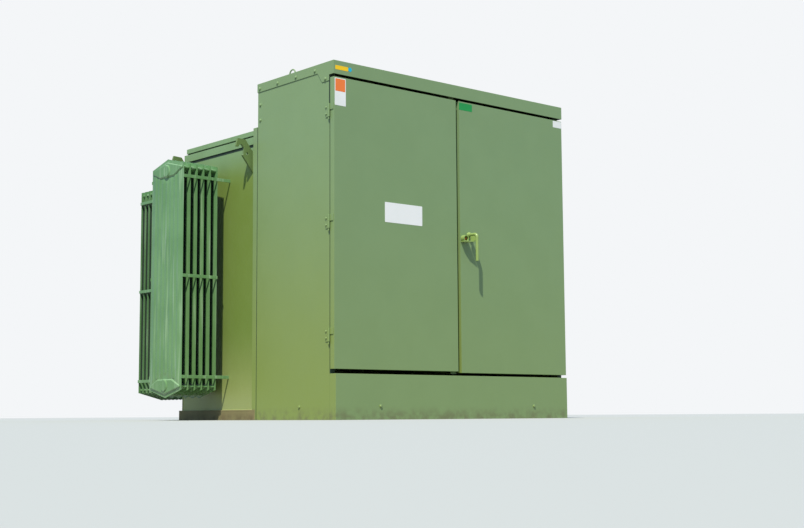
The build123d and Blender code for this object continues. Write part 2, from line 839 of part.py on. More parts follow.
# Spade terminals on the low-voltage studs
with BuildPart() as lv_spades:
    spade_back = plate_y - lv_body_length - lv_stud_length
    for x in lv_bushing_x:
        middle = facing_front(x, lv_bushing_z, spade_back)
        with BuildSketch(middle):
            Rectangle(spade_width, spade_height)
            with Locations((0, spade_hole_drop - spade_height / 2)):
                Circle(spade_hole_radius, mode=Mode.SUBTRACT)
        extrude(amount=spade_plate)
write(lv_spades, "lv_spades")

# Round gauges: liquid level and temperature
with BuildPart() as gauges:
    for x in gauge_x:
        turned(x, gauge_z, ((gauge_radius - gauge_bezel, gauge_length), (gauge_radius, gauge_bezel)))
write(gauges, "gauges")

with BuildPart() as pressure_relief:
    turned(lv_middle + relief_offset, gauge_z, ((relief_radius, relief_length),))
write(pressure_relief, "pressure_relief")

# Drain valve with a handwheel
with BuildPart() as drain_valve:
    valve_x = gap_middle + valve_offset
    turned(valve_x, valve_z, ((valve_radius, valve_length),))
    with BuildSketch(Plane.XY.offset(valve_z)):
        with Locations((valve_x, plate_y - valve_length / 2)):
            RegularPolygon(valve_bonnet_radius, round_sides)
    extrude(amount=valve_bonnet_height + valve_radius)
    with BuildSketch(Plane.XY.offset(valve_z + valve_radius + valve_bonnet_height)):
        with Locations((valve_x, plate_y - valve_length / 2)):
            RegularPolygon(valve_wheel_radius, turned_sides)
    extrude(amount=valve_wheel_plate)
write(drain_valve, "drain_valve")

# Ground pads with a tapped hole
with BuildPart() as ground_pads:
    for x in ground_pad_x:
        with BuildSketch(facing_front(x, ground_pad_z, plate_y)):
            Rectangle(ground_pad, ground_pad)
            Circle(ground_bore, mode=Mode.SUBTRACT)
        extrude(amount=ground_pad_plate)
write(ground_pads, "ground_pads")
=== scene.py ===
"""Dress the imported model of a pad-mounted power transformer.

Its sheets get their folds, its radiators their pressed panels, and all of it its
fasteners, welds and paint. Sizes in the classes are in millimetres and become metres
where a mesh is made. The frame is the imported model's own: +X along the cabinet's front,
+Y to the rear, +Z up.
"""

import json
import logging
from collections.abc import Callable, Iterator
from contextlib import contextmanager
from dataclasses import dataclass, field
from enum import Enum
from math import cos, pi, radians, sin

import bmesh
import bpy
from mathutils import Matrix, Vector

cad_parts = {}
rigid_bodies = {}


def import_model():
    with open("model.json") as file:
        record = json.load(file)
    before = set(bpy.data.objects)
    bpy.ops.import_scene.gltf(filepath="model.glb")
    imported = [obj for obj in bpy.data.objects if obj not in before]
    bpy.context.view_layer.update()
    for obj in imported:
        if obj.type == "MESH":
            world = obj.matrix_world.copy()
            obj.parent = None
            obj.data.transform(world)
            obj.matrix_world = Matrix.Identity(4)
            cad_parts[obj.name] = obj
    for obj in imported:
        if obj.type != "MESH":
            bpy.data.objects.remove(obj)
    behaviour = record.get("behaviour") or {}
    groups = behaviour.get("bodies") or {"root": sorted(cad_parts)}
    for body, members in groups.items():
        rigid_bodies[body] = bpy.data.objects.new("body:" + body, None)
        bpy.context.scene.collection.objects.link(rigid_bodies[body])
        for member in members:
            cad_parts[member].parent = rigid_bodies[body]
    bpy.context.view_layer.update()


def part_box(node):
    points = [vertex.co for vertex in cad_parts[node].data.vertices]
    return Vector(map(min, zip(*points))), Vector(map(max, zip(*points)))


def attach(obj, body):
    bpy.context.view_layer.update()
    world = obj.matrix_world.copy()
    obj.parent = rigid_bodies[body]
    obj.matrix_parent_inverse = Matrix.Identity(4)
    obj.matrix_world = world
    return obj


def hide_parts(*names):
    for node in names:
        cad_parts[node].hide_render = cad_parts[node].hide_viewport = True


log = logging.getLogger("transformer")

Piece = bpy.types.Object
Tree = bpy.types.NodeTree
Socket = bpy.types.NodeSocket
Spot = tuple[float, float]
Point = tuple[float, float, float]
# Points of (radius, height) from the bottom up
Outline = tuple[Spot, ...]
# Tells something of a face from its middle, in mm, and its normal
FaceRule = Callable[[Vector, Vector], bool]

MM = 0.001
MERGE_DISTANCE = 0.00001
FLAT_ANGLE = radians(0.5)
SMOOTH_ANGLE = radians(34)
# How much of a face's normal lies along an axis when the face slopes that way, isn't
# upright, looks that way and looks squarely that way
SLOPES, TILTED, ALONG, SQUARE = 0.3, 0.5, 0.9, 0.99
# A point this near to a face, in mm, lies on it
NEAR = 0.5


class Place(Enum):
    """A moving body of the transformer that a piece rides on."""

    TANK = "transformer"
    LEFT_DOOR = "left_door"
    RIGHT_DOOR = "right_door"
    HANDLE = "handle"


class Slot(Enum):
    """A material slot of the record, which pieces carry but which nothing here gives them."""

    PAINT = "painted_green"
    RADIATOR = "radiator_green"
    BASE = "base_paint"
    GASKET = "gasket_black"
    RUBBER = "bushing_rubber"
    PORCELAIN = "porcelain_grey"
    COPPER = "tinned_copper"
    STAINLESS = "stainless"
    GAUGE = "gauge_metal"
    BRASS = "brass_fitting"


class Facing(Enum):
    """The way a fastener or a fitting faces."""

    FRONT = (0, -1, 0)
    REAR = (0, 1, 0)
    LEFT = (-1, 0, 0)
    RIGHT = (1, 0, 0)
    UP = (0, 0, 1)


# Modelling by hand


def deselect_all() -> None:
    """Deselect every object."""
    for piece in bpy.context.view_layer.objects:
        piece.select_set(False)


def pick(piece: Piece) -> None:
    """Make one object the only selected one, and the active one.

    Args:
        piece: The object.
    """
    deselect_all()
    piece.select_set(True)
    bpy.context.view_layer.objects.active = piece


@contextmanager
def edit_mode(piece: Piece) -> Iterator[bmesh.types.BMesh]:
    """Open an object in edit mode with nothing selected.

    Args:
        piece: The mesh object to edit.

    Yields:
        The edit mesh, for picking faces and edges in code.
    """
    pick(piece)
    bpy.ops.object.mode_set(mode="EDIT")
    bpy.ops.mesh.select_all(action="DESELECT")
    yield bmesh.from_edit_mesh(piece.data)
    bpy.ops.object.mode_set(mode="OBJECT")


def pick_faces(
    piece: Piece, mesh: bmesh.types.BMesh, wanted: Callable[[float, float], bool]
) -> None:
    """Select faces of an open mesh by their place on its own X-Y plane.

    Args:
        piece: The object being edited.
        mesh: Its edit mesh.
        wanted: Tells from X and Y of a face's middle, in mm, whether it is wanted.
    """
    bpy.ops.mesh.select_mode(type="FACE")
    for face in mesh.faces:
        middle = face.calc_center_median() / MM
        face.select_set(wanted(middle.x, middle.y))
    mesh.select_flush_mode()
    bmesh.update_edit_mesh(piece.data)


def cut(point: Point | Vector, normal: Point | Vector, trim: bool = False) -> None:
    """Cut all that the open mesh has along a plane.

    Args:
        point: A point of the plane, in mm.
        normal: The plane's normal.
        trim: Remove what lies on the normal's side.
    """
    bpy.ops.mesh.select_all(action="SELECT")
    unit = Vector(normal).normalized()
    bpy.ops.mesh.bisect(plane_co=Vector(point) * MM, plane_no=unit, clear_outer=trim)


def lift(height: float) -> None:
    """Move what is selected along the open mesh's Z axis, in mm."""
    bpy.ops.transform.translate(value=(0, 0, height * MM))


def extrude(x: float, y: float, z: float) -> None:
    """Extrude what is selected by a move in mm."""
    bpy.ops.mesh.extrude_region_move(TRANSFORM_OT_translate={"value": (x * MM, y * MM, z * MM)})


def face_outwards() -> None:
    """Turn all faces of the open mesh outwards."""
    bpy.ops.mesh.select_all(action="SELECT")
    bpy.ops.mesh.normals_make_consistent(inside=False)


def make_whole() -> None:
    """Merge the open mesh's loose triangles into whole faces."""
    bpy.ops.mesh.select_all(action="SELECT")
    bpy.ops.mesh.remove_doubles(threshold=MERGE_DISTANCE)
    bpy.ops.mesh.dissolve_limited(angle_limit=FLAT_ANGLE)


def mark_painted_shade(piece: Piece, shaded_faces: FaceRule) -> None:
    """Mark the faces of a piece that get painted shade.

    Args:
        piece: The piece.
        shaded_faces: Tells which faces those are.
    """
    with edit_mode(piece) as mesh:
        for face in mesh.faces:
            face.material_index = int(shaded_faces(face.calc_center_median() / MM, face.normal))


def placed(point: Point | Vector, turn: Matrix | None = None) -> Matrix:
    """Matrix that turns a piece and then moves it to a point, in mm."""
    move = Matrix.Translation(Vector(point) * MM)
    return move if turn is None else move @ turn


def axes(x: Point | Vector, y: Point | Vector, z: Point | Vector) -> Matrix:
    """Matrix that lays a piece's own three axes along three directions."""
    return Matrix((x, y, z)).transposed().to_4x4()


def stand_on(point: Point, facing: Facing) -> Matrix:
    """Matrix that stands a piece made along +Z on a point, in mm, facing one way."""
    turn = Vector((0, 0, 1)).rotation_difference(Vector(facing.value)).to_matrix().to_4x4()
    return placed(point, turn)


def settle(piece: Piece, matrix: Matrix) -> None:
    """Move a mesh by a matrix, with its place kept in the mesh."""
    piece.data.transform(matrix)
    piece.data.update()


def copy_of(piece: Piece, name: str, matrix: Matrix | None = None) -> Piece:
    """Copy an object with a mesh of its own.

    Args:
        piece: The object to copy.
        name: The copy's name.
        matrix: Where the copy's mesh goes, if not to the same place.

    Returns:
        The copy.
    """
    made = bpy.data.objects.new(name, piece.data.copy())
    made.data.name = name
    bpy.context.scene.collection.objects.link(made)
    if matrix is not None:
        settle(made, matrix)
    return made


def joined(pieces: list[Piece], name: str) -> Piece:
    """Join objects into one.

    Args:
        pieces: The objects, of which the first takes in the others.
        name: The joined object's name.

    Returns:
        The joined object.
    """
    deselect_all()
    for piece in pieces:
        piece.select_set(True)
    bpy.context.view_layer.objects.active = pieces[0]
    if len(pieces) > 1:
        bpy.ops.object.join()
    pieces[0].name = name
    pieces[0].data.name = name
    return pieces[0]


def repeated(pattern: Piece, name: str, places: list[Matrix]) -> Piece:
    """Set a copy of a pattern at each place, as one smooth object, and remove the pattern.

    Args:
        pattern: The object to repeat.
        name: The joined copies' name.
        places: Where each copy goes.

    Returns:
        The joined copies.
    """
    made = joined([copy_of(pattern, name, place) for place in places], name)
    bpy.data.objects.remove(pattern)
    smooth(made)
    return made


def smooth(piece: Piece, angle: float = SMOOTH_ANGLE) -> None:
    """Shade an object smooth across its gentle edges, and keep its large faces flat.

    Args:
        piece: The object.
        angle: Largest angle of an edge that is smoothed, in radians.
    """
    pick(piece)
    bpy.ops.object.shade_smooth_by_angle(angle=angle)
    weighted = piece.modifiers.new("flat_faces", "WEIGHTED_NORMAL")
    weighted.keep_sharp = True
    weighted.weight = 100
    bpy.ops.object.modifier_apply(modifier=weighted.name)


def bevel_edges(piece: Piece, width: float, segments: int = 2, limit: float = 40.0) -> None:
    """Round an object's sharp edges with an applied bevel.

    Args:
        piece: The object.
        width: Width of the bevel in mm.
        segments: How many strips it has.
        limit: Smallest angle of an edge that is rounded, in degrees.
    """
    pick(piece)
    bevel = piece.modifiers.new("rounded", "BEVEL")
    bevel.width = width * MM
    bevel.segments = segments
    bevel.limit_method = "ANGLE"
    bevel.angle_limit = radians(limit)
    bevel.use_clamp_overlap = True
    bevel.harden_normals = False
    bpy.ops.object.modifier_apply(modifier=bevel.name)


def taken(name: str) -> Piece:
    """Take the primitive just added, name it and put its place in its mesh.

    Args:
        name: Its name.

    Returns:
        The object.
    """
    made = bpy.context.object
    bpy.ops.object.transform_apply(location=True, rotation=True, scale=True)
    made.name = name
    return made


def block(name: str, low: Point, high: Point) -> Piece:
    """Add a block.

    Args:
        name: The block's name.
        low: Its lowest corner in mm.
        high: Its highest corner in mm.

    Returns:
        The block.
    """
    deselect_all()
    centre = [(a + b) / 2 * MM for a, b in zip(low, high)]
    size = [abs(b - a) * MM for a, b in zip(low, high)]
    bpy.ops.mesh.primitive_cube_add(size=1, location=centre, scale=size)
    return taken(name)


def rod(name: str, radius: float, length: float, sides: int = 24) -> Piece:
    """Add a round bar that stands on the X-Y plane along +Z.

    Args:
        name: The bar's name.
        radius: Its radius in mm.
        length: Its length in mm.
        sides: How many sides it has.

    Returns:
        The bar.
    """
    deselect_all()
    bpy.ops.mesh.primitive_cylinder_add(
        vertices=sides, radius=radius * MM, depth=length * MM, location=(0, 0, length * MM / 2)
    )
    return taken(name)


def turned(name: str, outline: Outline, steps: int = 32) -> Piece:
    """Turn a piece about +Z from its outline, closed at both ends.

    Args:
        name: The piece's name.
        outline: Its outline in mm.
        steps: How many sides the piece has.

    Returns:
        The turned piece.
    """
    radius, height = outline[0]
    deselect_all()
    bpy.ops.mesh.primitive_circle_add(vertices=steps, radius=radius * MM, fill_type="NGON")
    made = bpy.context.object
    made.name = name
    with edit_mode(made):
        bpy.ops.mesh.select_all(action="SELECT")
        lift(height)
        for next_radius, next_height in outline[1:]:
            extrude(0, 0, next_height - height)
            share = next_radius / radius
            middle = (0, 0, next_height * MM)
            bpy.ops.transform.resize(value=(share, share, 1), center_override=middle)
            radius, height = next_radius, next_height
        face_outwards()
    return made


def bent_bar(name: str, radius: float, start: float, bend: float, turn: float, end: float) -> Piece:
    """Bend a round bar that starts up +Z and turns towards +X, all in mm.

    Args:
        name: The bar's name.
        radius: Radius of the bar.
        start: Length of the first straight run.
        bend: Radius of the bend's middle line.
        turn: Angle of the bend in degrees.
        end: Length of the last straight run.

    Returns:
        The bar, closed at both ends.
    """
    sides, degrees_a_step = 24, 9
    deselect_all()
    bpy.ops.mesh.primitive_circle_add(vertices=sides, radius=radius * MM, fill_type="NOTHING")
    made = bpy.context.object
    made.name = name
    angle = radians(turn)
    steps = round(turn / degrees_a_step)
    with edit_mode(made):
        bpy.ops.mesh.select_mode(type="EDGE")
        bpy.ops.mesh.select_all(action="SELECT")
        extrude(0, 0, start)
        centre = (bend * MM, 0, start * MM)
        # Spin turns the other way when Blender has no window
        bpy.ops.mesh.spin(steps=steps, angle=-angle, center=centre, axis=(0, 1, 0))
        extrude(sin(angle) * end, 0, cos(angle) * end)
        bpy.ops.mesh.select_all(action="SELECT")
        bpy.ops.mesh.remove_doubles(threshold=MERGE_DISTANCE)
        bpy.ops.mesh.fill_holes(sides=0)
        face_outwards()
    return made


def row(low: float, high: float, count: int) -> list[float]:
    """Give evenly spaced places from the lowest to the highest."""
    return [low + (high - low) * number / (count - 1) for number in range(count)]


def low_of(node: str) -> Vector:
    """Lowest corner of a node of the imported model, in mm."""
    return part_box(node)[0] / MM


def high_of(node: str) -> Vector:
    """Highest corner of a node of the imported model, in mm."""
    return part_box(node)[1] / MM


def middle_of(node: str) -> Vector:
    """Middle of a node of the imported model, in mm."""
    return (low_of(node) + high_of(node)) / 2


# Finishes


def linear(colour: str) -> tuple[float, float, float, float]:
    """Turn an sRGB hex colour to linear values with full alpha."""
    values = [int(colour[i : i + 2], 16) / 255 for i in (1, 3, 5)]
    return (*[v / 12.92 if v <= 0.04045 else ((v + 0.055) / 1.055) ** 2.4 for v in values], 1.0)


def add_node(
    tree: Tree,
    kind: str,
    settings: dict | None = None,
    values: dict | None = None,
    links: dict | None = None,
) -> bpy.types.Node:
    """Add a node with its settings, socket values and incoming links.

    Args:
        tree: The node tree.
        kind: The node's type.
        settings: Attributes of the node.
        values: Values of its input sockets, by name or number.
        links: Output sockets that feed its inputs, by name or number.

    Returns:
        The node.
    """
    node = tree.nodes.new(kind)
    for name, value in (settings or {}).items():
        setattr(node, name, value)
    for socket, value in (values or {}).items():
        node.inputs[socket].default_value = value
    for socket, source in (links or {}).items():
        tree.links.new(source, node.inputs[socket])
    return node


def layered(tree: Tree, base: str, coats: list[tuple[Socket, str]]) -> Socket:
    """Lay coats of colour over a base, one after another.

    Args:
        tree: The node tree.
        base: The base's hex colour.
        coats: The share that each coat covers, and its hex colour.

    Returns:
        The socket of the colour that shows.
    """
    share_in, under_in, over_in, colour_out = 0, 6, 7, 2
    shown = None
    for share, colour in coats:
        values = {under_in: linear(base), over_in: linear(colour)}
        links = {share_in: share} if shown is None else {share_in: share, under_in: shown}
        mix = add_node(tree, "ShaderNodeMix", {"data_type": "RGBA"}, values, links)
        shown = mix.outputs[colour_out]
    return shown


def eased(tree: Tree, spans: dict[str, tuple]) -> dict[str, Socket]:
    """Ease values over their spans, flat before and after them.

    Args:
        tree: The node tree.
        spans: By name, a value's socket, where its span starts and ends, and what it
            gives at the start and at the end.

    Returns:
        The eased values' sockets, by the same names.
    """
    made = {}
    names = ("From Min", "From Max", "To Min", "To Max")
    for name, (source, *ends) in spans.items():
        values = dict(zip(names, ends))
        settings = {"interpolation_type": "SMOOTHSTEP"}
        node = add_node(tree, "ShaderNodeMapRange", settings, values, {"Value": source})
        made[name] = node.outputs["Result"]
    return made


def patches(
    tree: Tree, size: float, detail: float = 2.0, stretch: Point = (1.0, 1.0, 1.0)
) -> Socket:
    """Uneven patches about as large as a size in mm, on Object coordinates.

    Args:
        tree: The node tree.
        size: Size of a patch in mm.
        detail: How much finer detail it has.
        stretch: Scale along each axis, to draw the patches out.

    Returns:
        The socket that runs from 0 to 1 across them.
    """
    place = add_node(tree, "ShaderNodeTexCoord").outputs["Object"]
    drawn = add_node(tree, "ShaderNodeMapping", values={"Scale": stretch}, links={0: place})
    values = {"Scale": 1 / (size * MM), "Detail": detail, "Roughness": 0.55}
    noise = add_node(tree, "ShaderNodeTexNoise", values=values, links={0: drawn.outputs[0]})
    return noise.outputs[0]


@dataclass(frozen=True)
class Finish:
    """A real material's surface, made of a colour, a gloss and a fine relief."""

    name: str
    colour: str
    depth: float = field(default=0.08, kw_only=True)
    metallic: float = field(default=0.0, kw_only=True)

    def surface(self, tree: Tree) -> tuple[Socket, Socket, Socket]:
        """Build the sockets of the colour, the roughness and the relief."""
        raise NotImplementedError

    def material(self) -> bpy.types.Material:
        """Build the material.

        Returns:
            The material.
        """
        made = bpy.data.materials.new(self.name)
        made.use_nodes = True
        tree = made.node_tree
        colour, roughness, relief = self.surface(tree)
        values = {"Strength": self.depth, "Distance": MM}
        bump = add_node(tree, "ShaderNodeBump", values=values, links={"Height": relief})
        shader = tree.nodes["Principled BSDF"].inputs
        shader["Metallic"].default_value = self.metallic
        tree.links.new(colour, shader["Base Color"])
        tree.links.new(roughness, shader["Roughness"])
        tree.links.new(bump.outputs[0], shader["Normal"])
        return made


@dataclass(frozen=True)
class Enamel(Finish):
    """Air-dried alkyd enamel over primer on steel, with faint clouds, orange peel and dust, and a
    painted reflection of warm ground light low on its sides.

    The sizes of its patches are in mm. Orange peel is 2 to 3 mm wide, which is too fine to
    show, so it is drawn several times coarser.
    """

    cloud: str
    dust: str
    grime: str
    depth: float = field(default=0.05, kw_only=True)
    cloud_size: float = 260.0
    roughness: float = 0.42
    gloss_size: float = 120.0
    peel: float = 9.0
    runs: float = 0.0
    run_width: float = 26.0
    run_draw: float = 0.06
    dust_share: float = 0.35
    # A yellow-olive tint towards the ground, strongest on side-facing faces: a painted reflection
    # of warm ground light
    ground_reflection: str = "#85943E"
    ground_reflection_share: float = 0.75
    ground_reflection_from: float = 0.0
    ground_reflection_height: float = 1900.0
    splash: str = "#A3AC70"
    splash_share: float = 0.0
    splash_height: float = 620.0
    grime_share: float = 0.75
    grime_height: float = 90.0
    grime_size: float = 55.0

    def shares(self, tree: Tree) -> dict[str, Socket]:
        """Build how much each coat shows where, and how rough the enamel is.

        Args:
            tree: The node tree.

        Returns:
            The shares' sockets by name, with the roughness among them.
        """
        place = add_node(tree, "ShaderNodeTexCoord").outputs
        facing = add_node(tree, "ShaderNodeSeparateXYZ", links={0: place["Normal"]}).outputs
        height = add_node(tree, "ShaderNodeSeparateXYZ", links={0: place["Object"]}).outputs["Z"]
        across = {0: facing["X"]}
        sideways = add_node(tree, "ShaderNodeMath", {"operation": "ABSOLUTE"}, links=across)
        clouds = patches(tree, self.cloud_size, 3)
        streaks = patches(tree, self.run_width, 3, (1.0, 1.0, self.run_draw))
        gloss = patches(tree, self.gloss_size, 3)
        reflection_low, reflection_high = self.ground_reflection_from * MM, self.ground_reflection_height * MM
        spans = {
            "cloud": (clouds, 0.35, 0.65, 0.0, 1.0),
            "run": (streaks, 0.5, 0.75, 0.0, self.runs),
            "dust": (facing["Z"], 0.3, 1.0, 0.0, self.dust_share),
            # Side-facing faces take more of the painted ground reflection
            "side_facing": (sideways.outputs[0], 0.2, 0.9, 0.3, 1.0),
            "low": (height, reflection_low, reflection_high, self.ground_reflection_share, 0.0),
            "splash": (height, 0.0, self.splash_height * MM, self.splash_share, 0.0),
            "foot": (height, 0.0, self.grime_height * MM, self.grime_share, 0.0),
            "patchy": (patches(tree, self.grime_size, 4), 0.35, 0.7, 0.0, 1.0),
            "roughness": (gloss, 0.3, 0.7, self.roughness - 0.05, self.roughness + 0.08),
        }
        shares = eased(tree, spans)
        for name, first, second in (("ground_reflection", "low", "side_facing"), ("grime", "foot", "patchy")):
            links = {0: shares[first], 1: shares[second]}
            both = add_node(tree, "ShaderNodeMath", {"operation": "MULTIPLY"}, links=links)
            shares[name] = both.outputs[0]
        return shares

    def surface(self, tree: Tree) -> tuple[Socket, Socket, Socket]:
        """Lay the enamel and what time has left on it.

        Args:
            tree: The node tree.

        Returns:
            The sockets of the colour, the roughness and the relief.
        """
        shares = self.shares(tree)
        coats = {
            "cloud": self.cloud, "run": self.dust, "dust": self.dust,
            "ground_reflection": self.ground_reflection, "splash": self.splash, "grime": self.grime,
        }
        colour = layered(tree, self.colour, [(shares[name], coats[name]) for name in coats])
        return colour, shares["roughness"], patches(tree, self.peel, 2)


@dataclass(frozen=True)
class Plain(Finish):
    """A worked surface of one stuff, whose colour, gloss and relief vary with its grain.

    The grain is in mm. A real grain is a fraction of one, which is too fine to show, so it
    is drawn coarser.
    """

    shade: str
    roughness: float = 0.5
    grain: float = 6.0
    grains_a_patch: float = 6.0
    stretch: Point = (1.0, 1.0, 1.0)

    def surface(self, tree: Tree) -> tuple[Socket, Socket, Socket]:
        """Build the surface.

        Args:
            tree: The node tree.

        Returns:
            The sockets of the colour, the roughness and the relief.
        """
        wide = patches(tree, self.grain * self.grains_a_patch, 3, self.stretch)
        fine = patches(tree, self.grain, 2, self.stretch)
        spans = {
            "shade": (wide, 0.35, 0.7, 0.0, 1.0),
            "roughness": (fine, 0.3, 0.7, self.roughness - 0.06, self.roughness + 0.08),
        }
        shares = eased(tree, spans)
        colour = layered(tree, self.colour, [(shares["shade"], self.shade)])
        return colour, shares["roughness"], fine


# Sprayed alkyd enamel is an even, softly glossy coat; its sides turn a little yellow towards
# the ground, which is a painted reflection of warm ground light
CABINET_GREEN = Enamel("cabinet_enamel", "#7E996C", "#809B6E", "#94A67E", "#6B6A4A")
# The warm tank's enamel turns olive from the middle down, most on its side walls, a painted
# reflection of warm ground light, with pale dust splashed on
TANK_GREEN = Enamel(
    "tank_enamel", "#7A9A6A", "#81A172", "#8FA57E", "#6B6A4A", runs=0.12, ground_reflection="#748A41",
    ground_reflection_share=1.0, ground_reflection_from=1480, ground_reflection_height=1800, splash_share=0.75,
)
# Thin flow-coated enamel runs down the panels as it dries, which leaves faint upright
# streaks and a wetter gloss
RADIATOR_GREEN = Enamel(
    "flow_coated_enamel", "#628E5C", "#6C9866", "#A9C6A5", "#6E7355", roughness=0.24, peel=14,
    runs=0.5, grime_height=190, dust_share=0.5, ground_reflection_share=0.12,
)
# The lugs' enamel is darker and duller than the sprayed coat; its darker colour is painted
# shade of the lugs' shaded faces
SHADED_LUG_GREEN = Enamel(
    "shaded_lug_enamel", "#627A46", "#69814C", "#8FA57E", "#6B6A4A", roughness=0.5, ground_reflection_share=0.0
)
# Enamel that hands have rubbed is smooth, bright and glossy
HANDLE_GREEN = Enamel(
    "handle_enamel", "#8BA35C", "#93AB64", "#A9BC88", "#7A5A38", roughness=0.26, dust_share=0.2,
    ground_reflection_share=0.0,
)
# Painted shade: a dark, dull coat on the faces in gaps, joints and undersides where shade falls
PAINTED_SHADE = Enamel(
    "painted_shade_coat", "#27392C", "#2C4031", "#33463A", "#2A2E22", roughness=0.7, ground_reflection_share=0.0
)
# Road dirt dries on the base's enamel as a dull brown film
BASE_GREEN = Enamel(
    "road_dirty_enamel", "#7B764E", "#857B55", "#8C8A6A", "#5F5238", roughness=0.7,
    grime_height=60, ground_reflection_share=0.0,
)
# Moulded cork and rubber is near black and takes up all shine
GASKET = Plain("cork_rubber_gasket", "#15170F", "#22241A", 0.85)
# Moulded rubber comes out of its tool black with a soft sheen
MOULDED_RUBBER = Plain("moulded_rubber", "#1D1D1F", "#26262A", 0.45, grain=3)
# Fired glaze lies on porcelain like glass, even in colour and sharp in its highlights
PORCELAIN = Plain("glazed_porcelain", "#8B9094", "#7F868B", 0.15, grain=20, depth=0.02)
# Tin plate on drawn copper is silvery, with a fine grain along the bar
TIN_PLATE = Plain(
    "tin_plated_copper", "#C9C6BE", "#B2AFA6", 0.35, metallic=1.0, grain=5, stretch=(1.0, 1.0, 0.2)
)
# Stainless steel as it leaves the mill is plain grey, with a drawn grain
MILL_STEEL = Plain(
    "mill_finish_stainless", "#B9B9B6", "#A2A29E", 0.4, metallic=1.0, grain=3,
    stretch=(1.0, 1.0, 0.1),
)
# Sand-cast brass is a dull yellow with a coarse skin
CAST_BRASS = Plain("cast_brass", "#B08D4E", "#8E7040", 0.45, metallic=1.0, grain=4)
# Machined silicon bronze is a warm, reddish and brighter metal
SILICON_BRONZE = Plain("silicon_bronze", "#B9733C", "#94582C", 0.38, metallic=1.0, grain=3)
# Die-cast metal that is blasted has an even, satin grey
SATIN_METAL = Plain("satin_cast_metal", "#A7A9A8", "#8F9291", 0.4, metallic=1.0, grain=4)
# Printed card behind a dial's glass is a matt, warm white
DIAL_WHITE = Plain("dial_card", "#E8E8E2", "#DEDED6", 0.6, grain=20, depth=0.01)
# Calendered vinyl film lies flat, with one strong colour and a soft gloss
VINYL_WHITE, VINYL_ORANGE, VINYL_YELLOW, VINYL_BLUE, VINYL_GREEN = (
    Plain(f"{name}_vinyl", colour, shade, 0.4, grain=40, depth=0.02)
    for name, colour, shade in (
        ("white", "#F4F4F6", "#ECEEEE"),
        ("orange", "#F9823A", "#F27B34"),
        ("yellow", "#FFCF0A", "#F7C80A"),
        ("blue", "#16BCE0", "#14B2D6"),
        ("green", "#1F9A4A", "#1B9045"),
    )
)


class Paintshop:
    """Builds each finish once and dresses pieces with it."""

    def __init__(self) -> None:
        """Start with no finish built."""
        self.built: dict[str, bpy.types.Material] = {}

    def dress(self, piece: Piece, *finishes: Finish) -> None:
        """Give an object its finish, and a second one for the faces that are marked for it.

        Args:
            piece: The piece.
            *finishes: Its finishes, in the order of its faces' marks.
        """
        marks = [face.material_index for face in piece.data.polygons]
        piece.data.materials.clear()
        for finish in finishes:
            if finish.name not in self.built:
                self.built[finish.name] = finish.material()
            piece.data.materials.append(self.built[finish.name])
        if len(finishes) > 1:
            piece.data.polygons.foreach_set("material_index", marks)


SHOP = Paintshop()


def finish_piece(
    piece: Piece,
    finish: Finish,
    place: Place,
    nodes: tuple[str, ...] = (),
    marked: tuple[Finish, ...] = (),
) -> None:
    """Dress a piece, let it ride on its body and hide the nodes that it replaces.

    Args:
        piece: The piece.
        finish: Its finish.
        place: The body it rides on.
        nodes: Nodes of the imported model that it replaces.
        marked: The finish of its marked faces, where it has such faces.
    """
    SHOP.dress(piece, finish, *marked)
    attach(piece, place.value)
    if nodes:
        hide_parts(*nodes)
    log.info("%s: %d faces", piece.name, len(piece.data.polygons))


# Folded and welded sheet


@dataclass
class FoldedSheet:
    """A node of plain sheet or plate whose folds and cut edges get their small radius."""

    node: str
    place: Place = Place.TANK
    finish: Finish = CABINET_GREEN
    slot: Slot = Slot.PAINT
    fold: float = 1.2
    cuts: tuple[tuple[Point, Point], ...] = ()
    shaded_faces: FaceRule | None = None

    def build(self) -> None:
        """Copy the node, merge it into whole faces, round its edges and mark its painted shade."""
        made = copy_of(bpy.data.objects[self.node], f"{self.node}_folded")
        with edit_mode(made):
            make_whole()
            for point, normal in self.cuts:
                cut(point, normal)
        bevel_edges(made, self.fold)
        smooth(made)
        if self.shaded_faces is not None:
            mark_painted_shade(made, self.shaded_faces)
        marked = () if self.shaded_faces is None else (PAINTED_SHADE,)
        finish_piece(made, self.finish, self.place, (self.node,), marked)


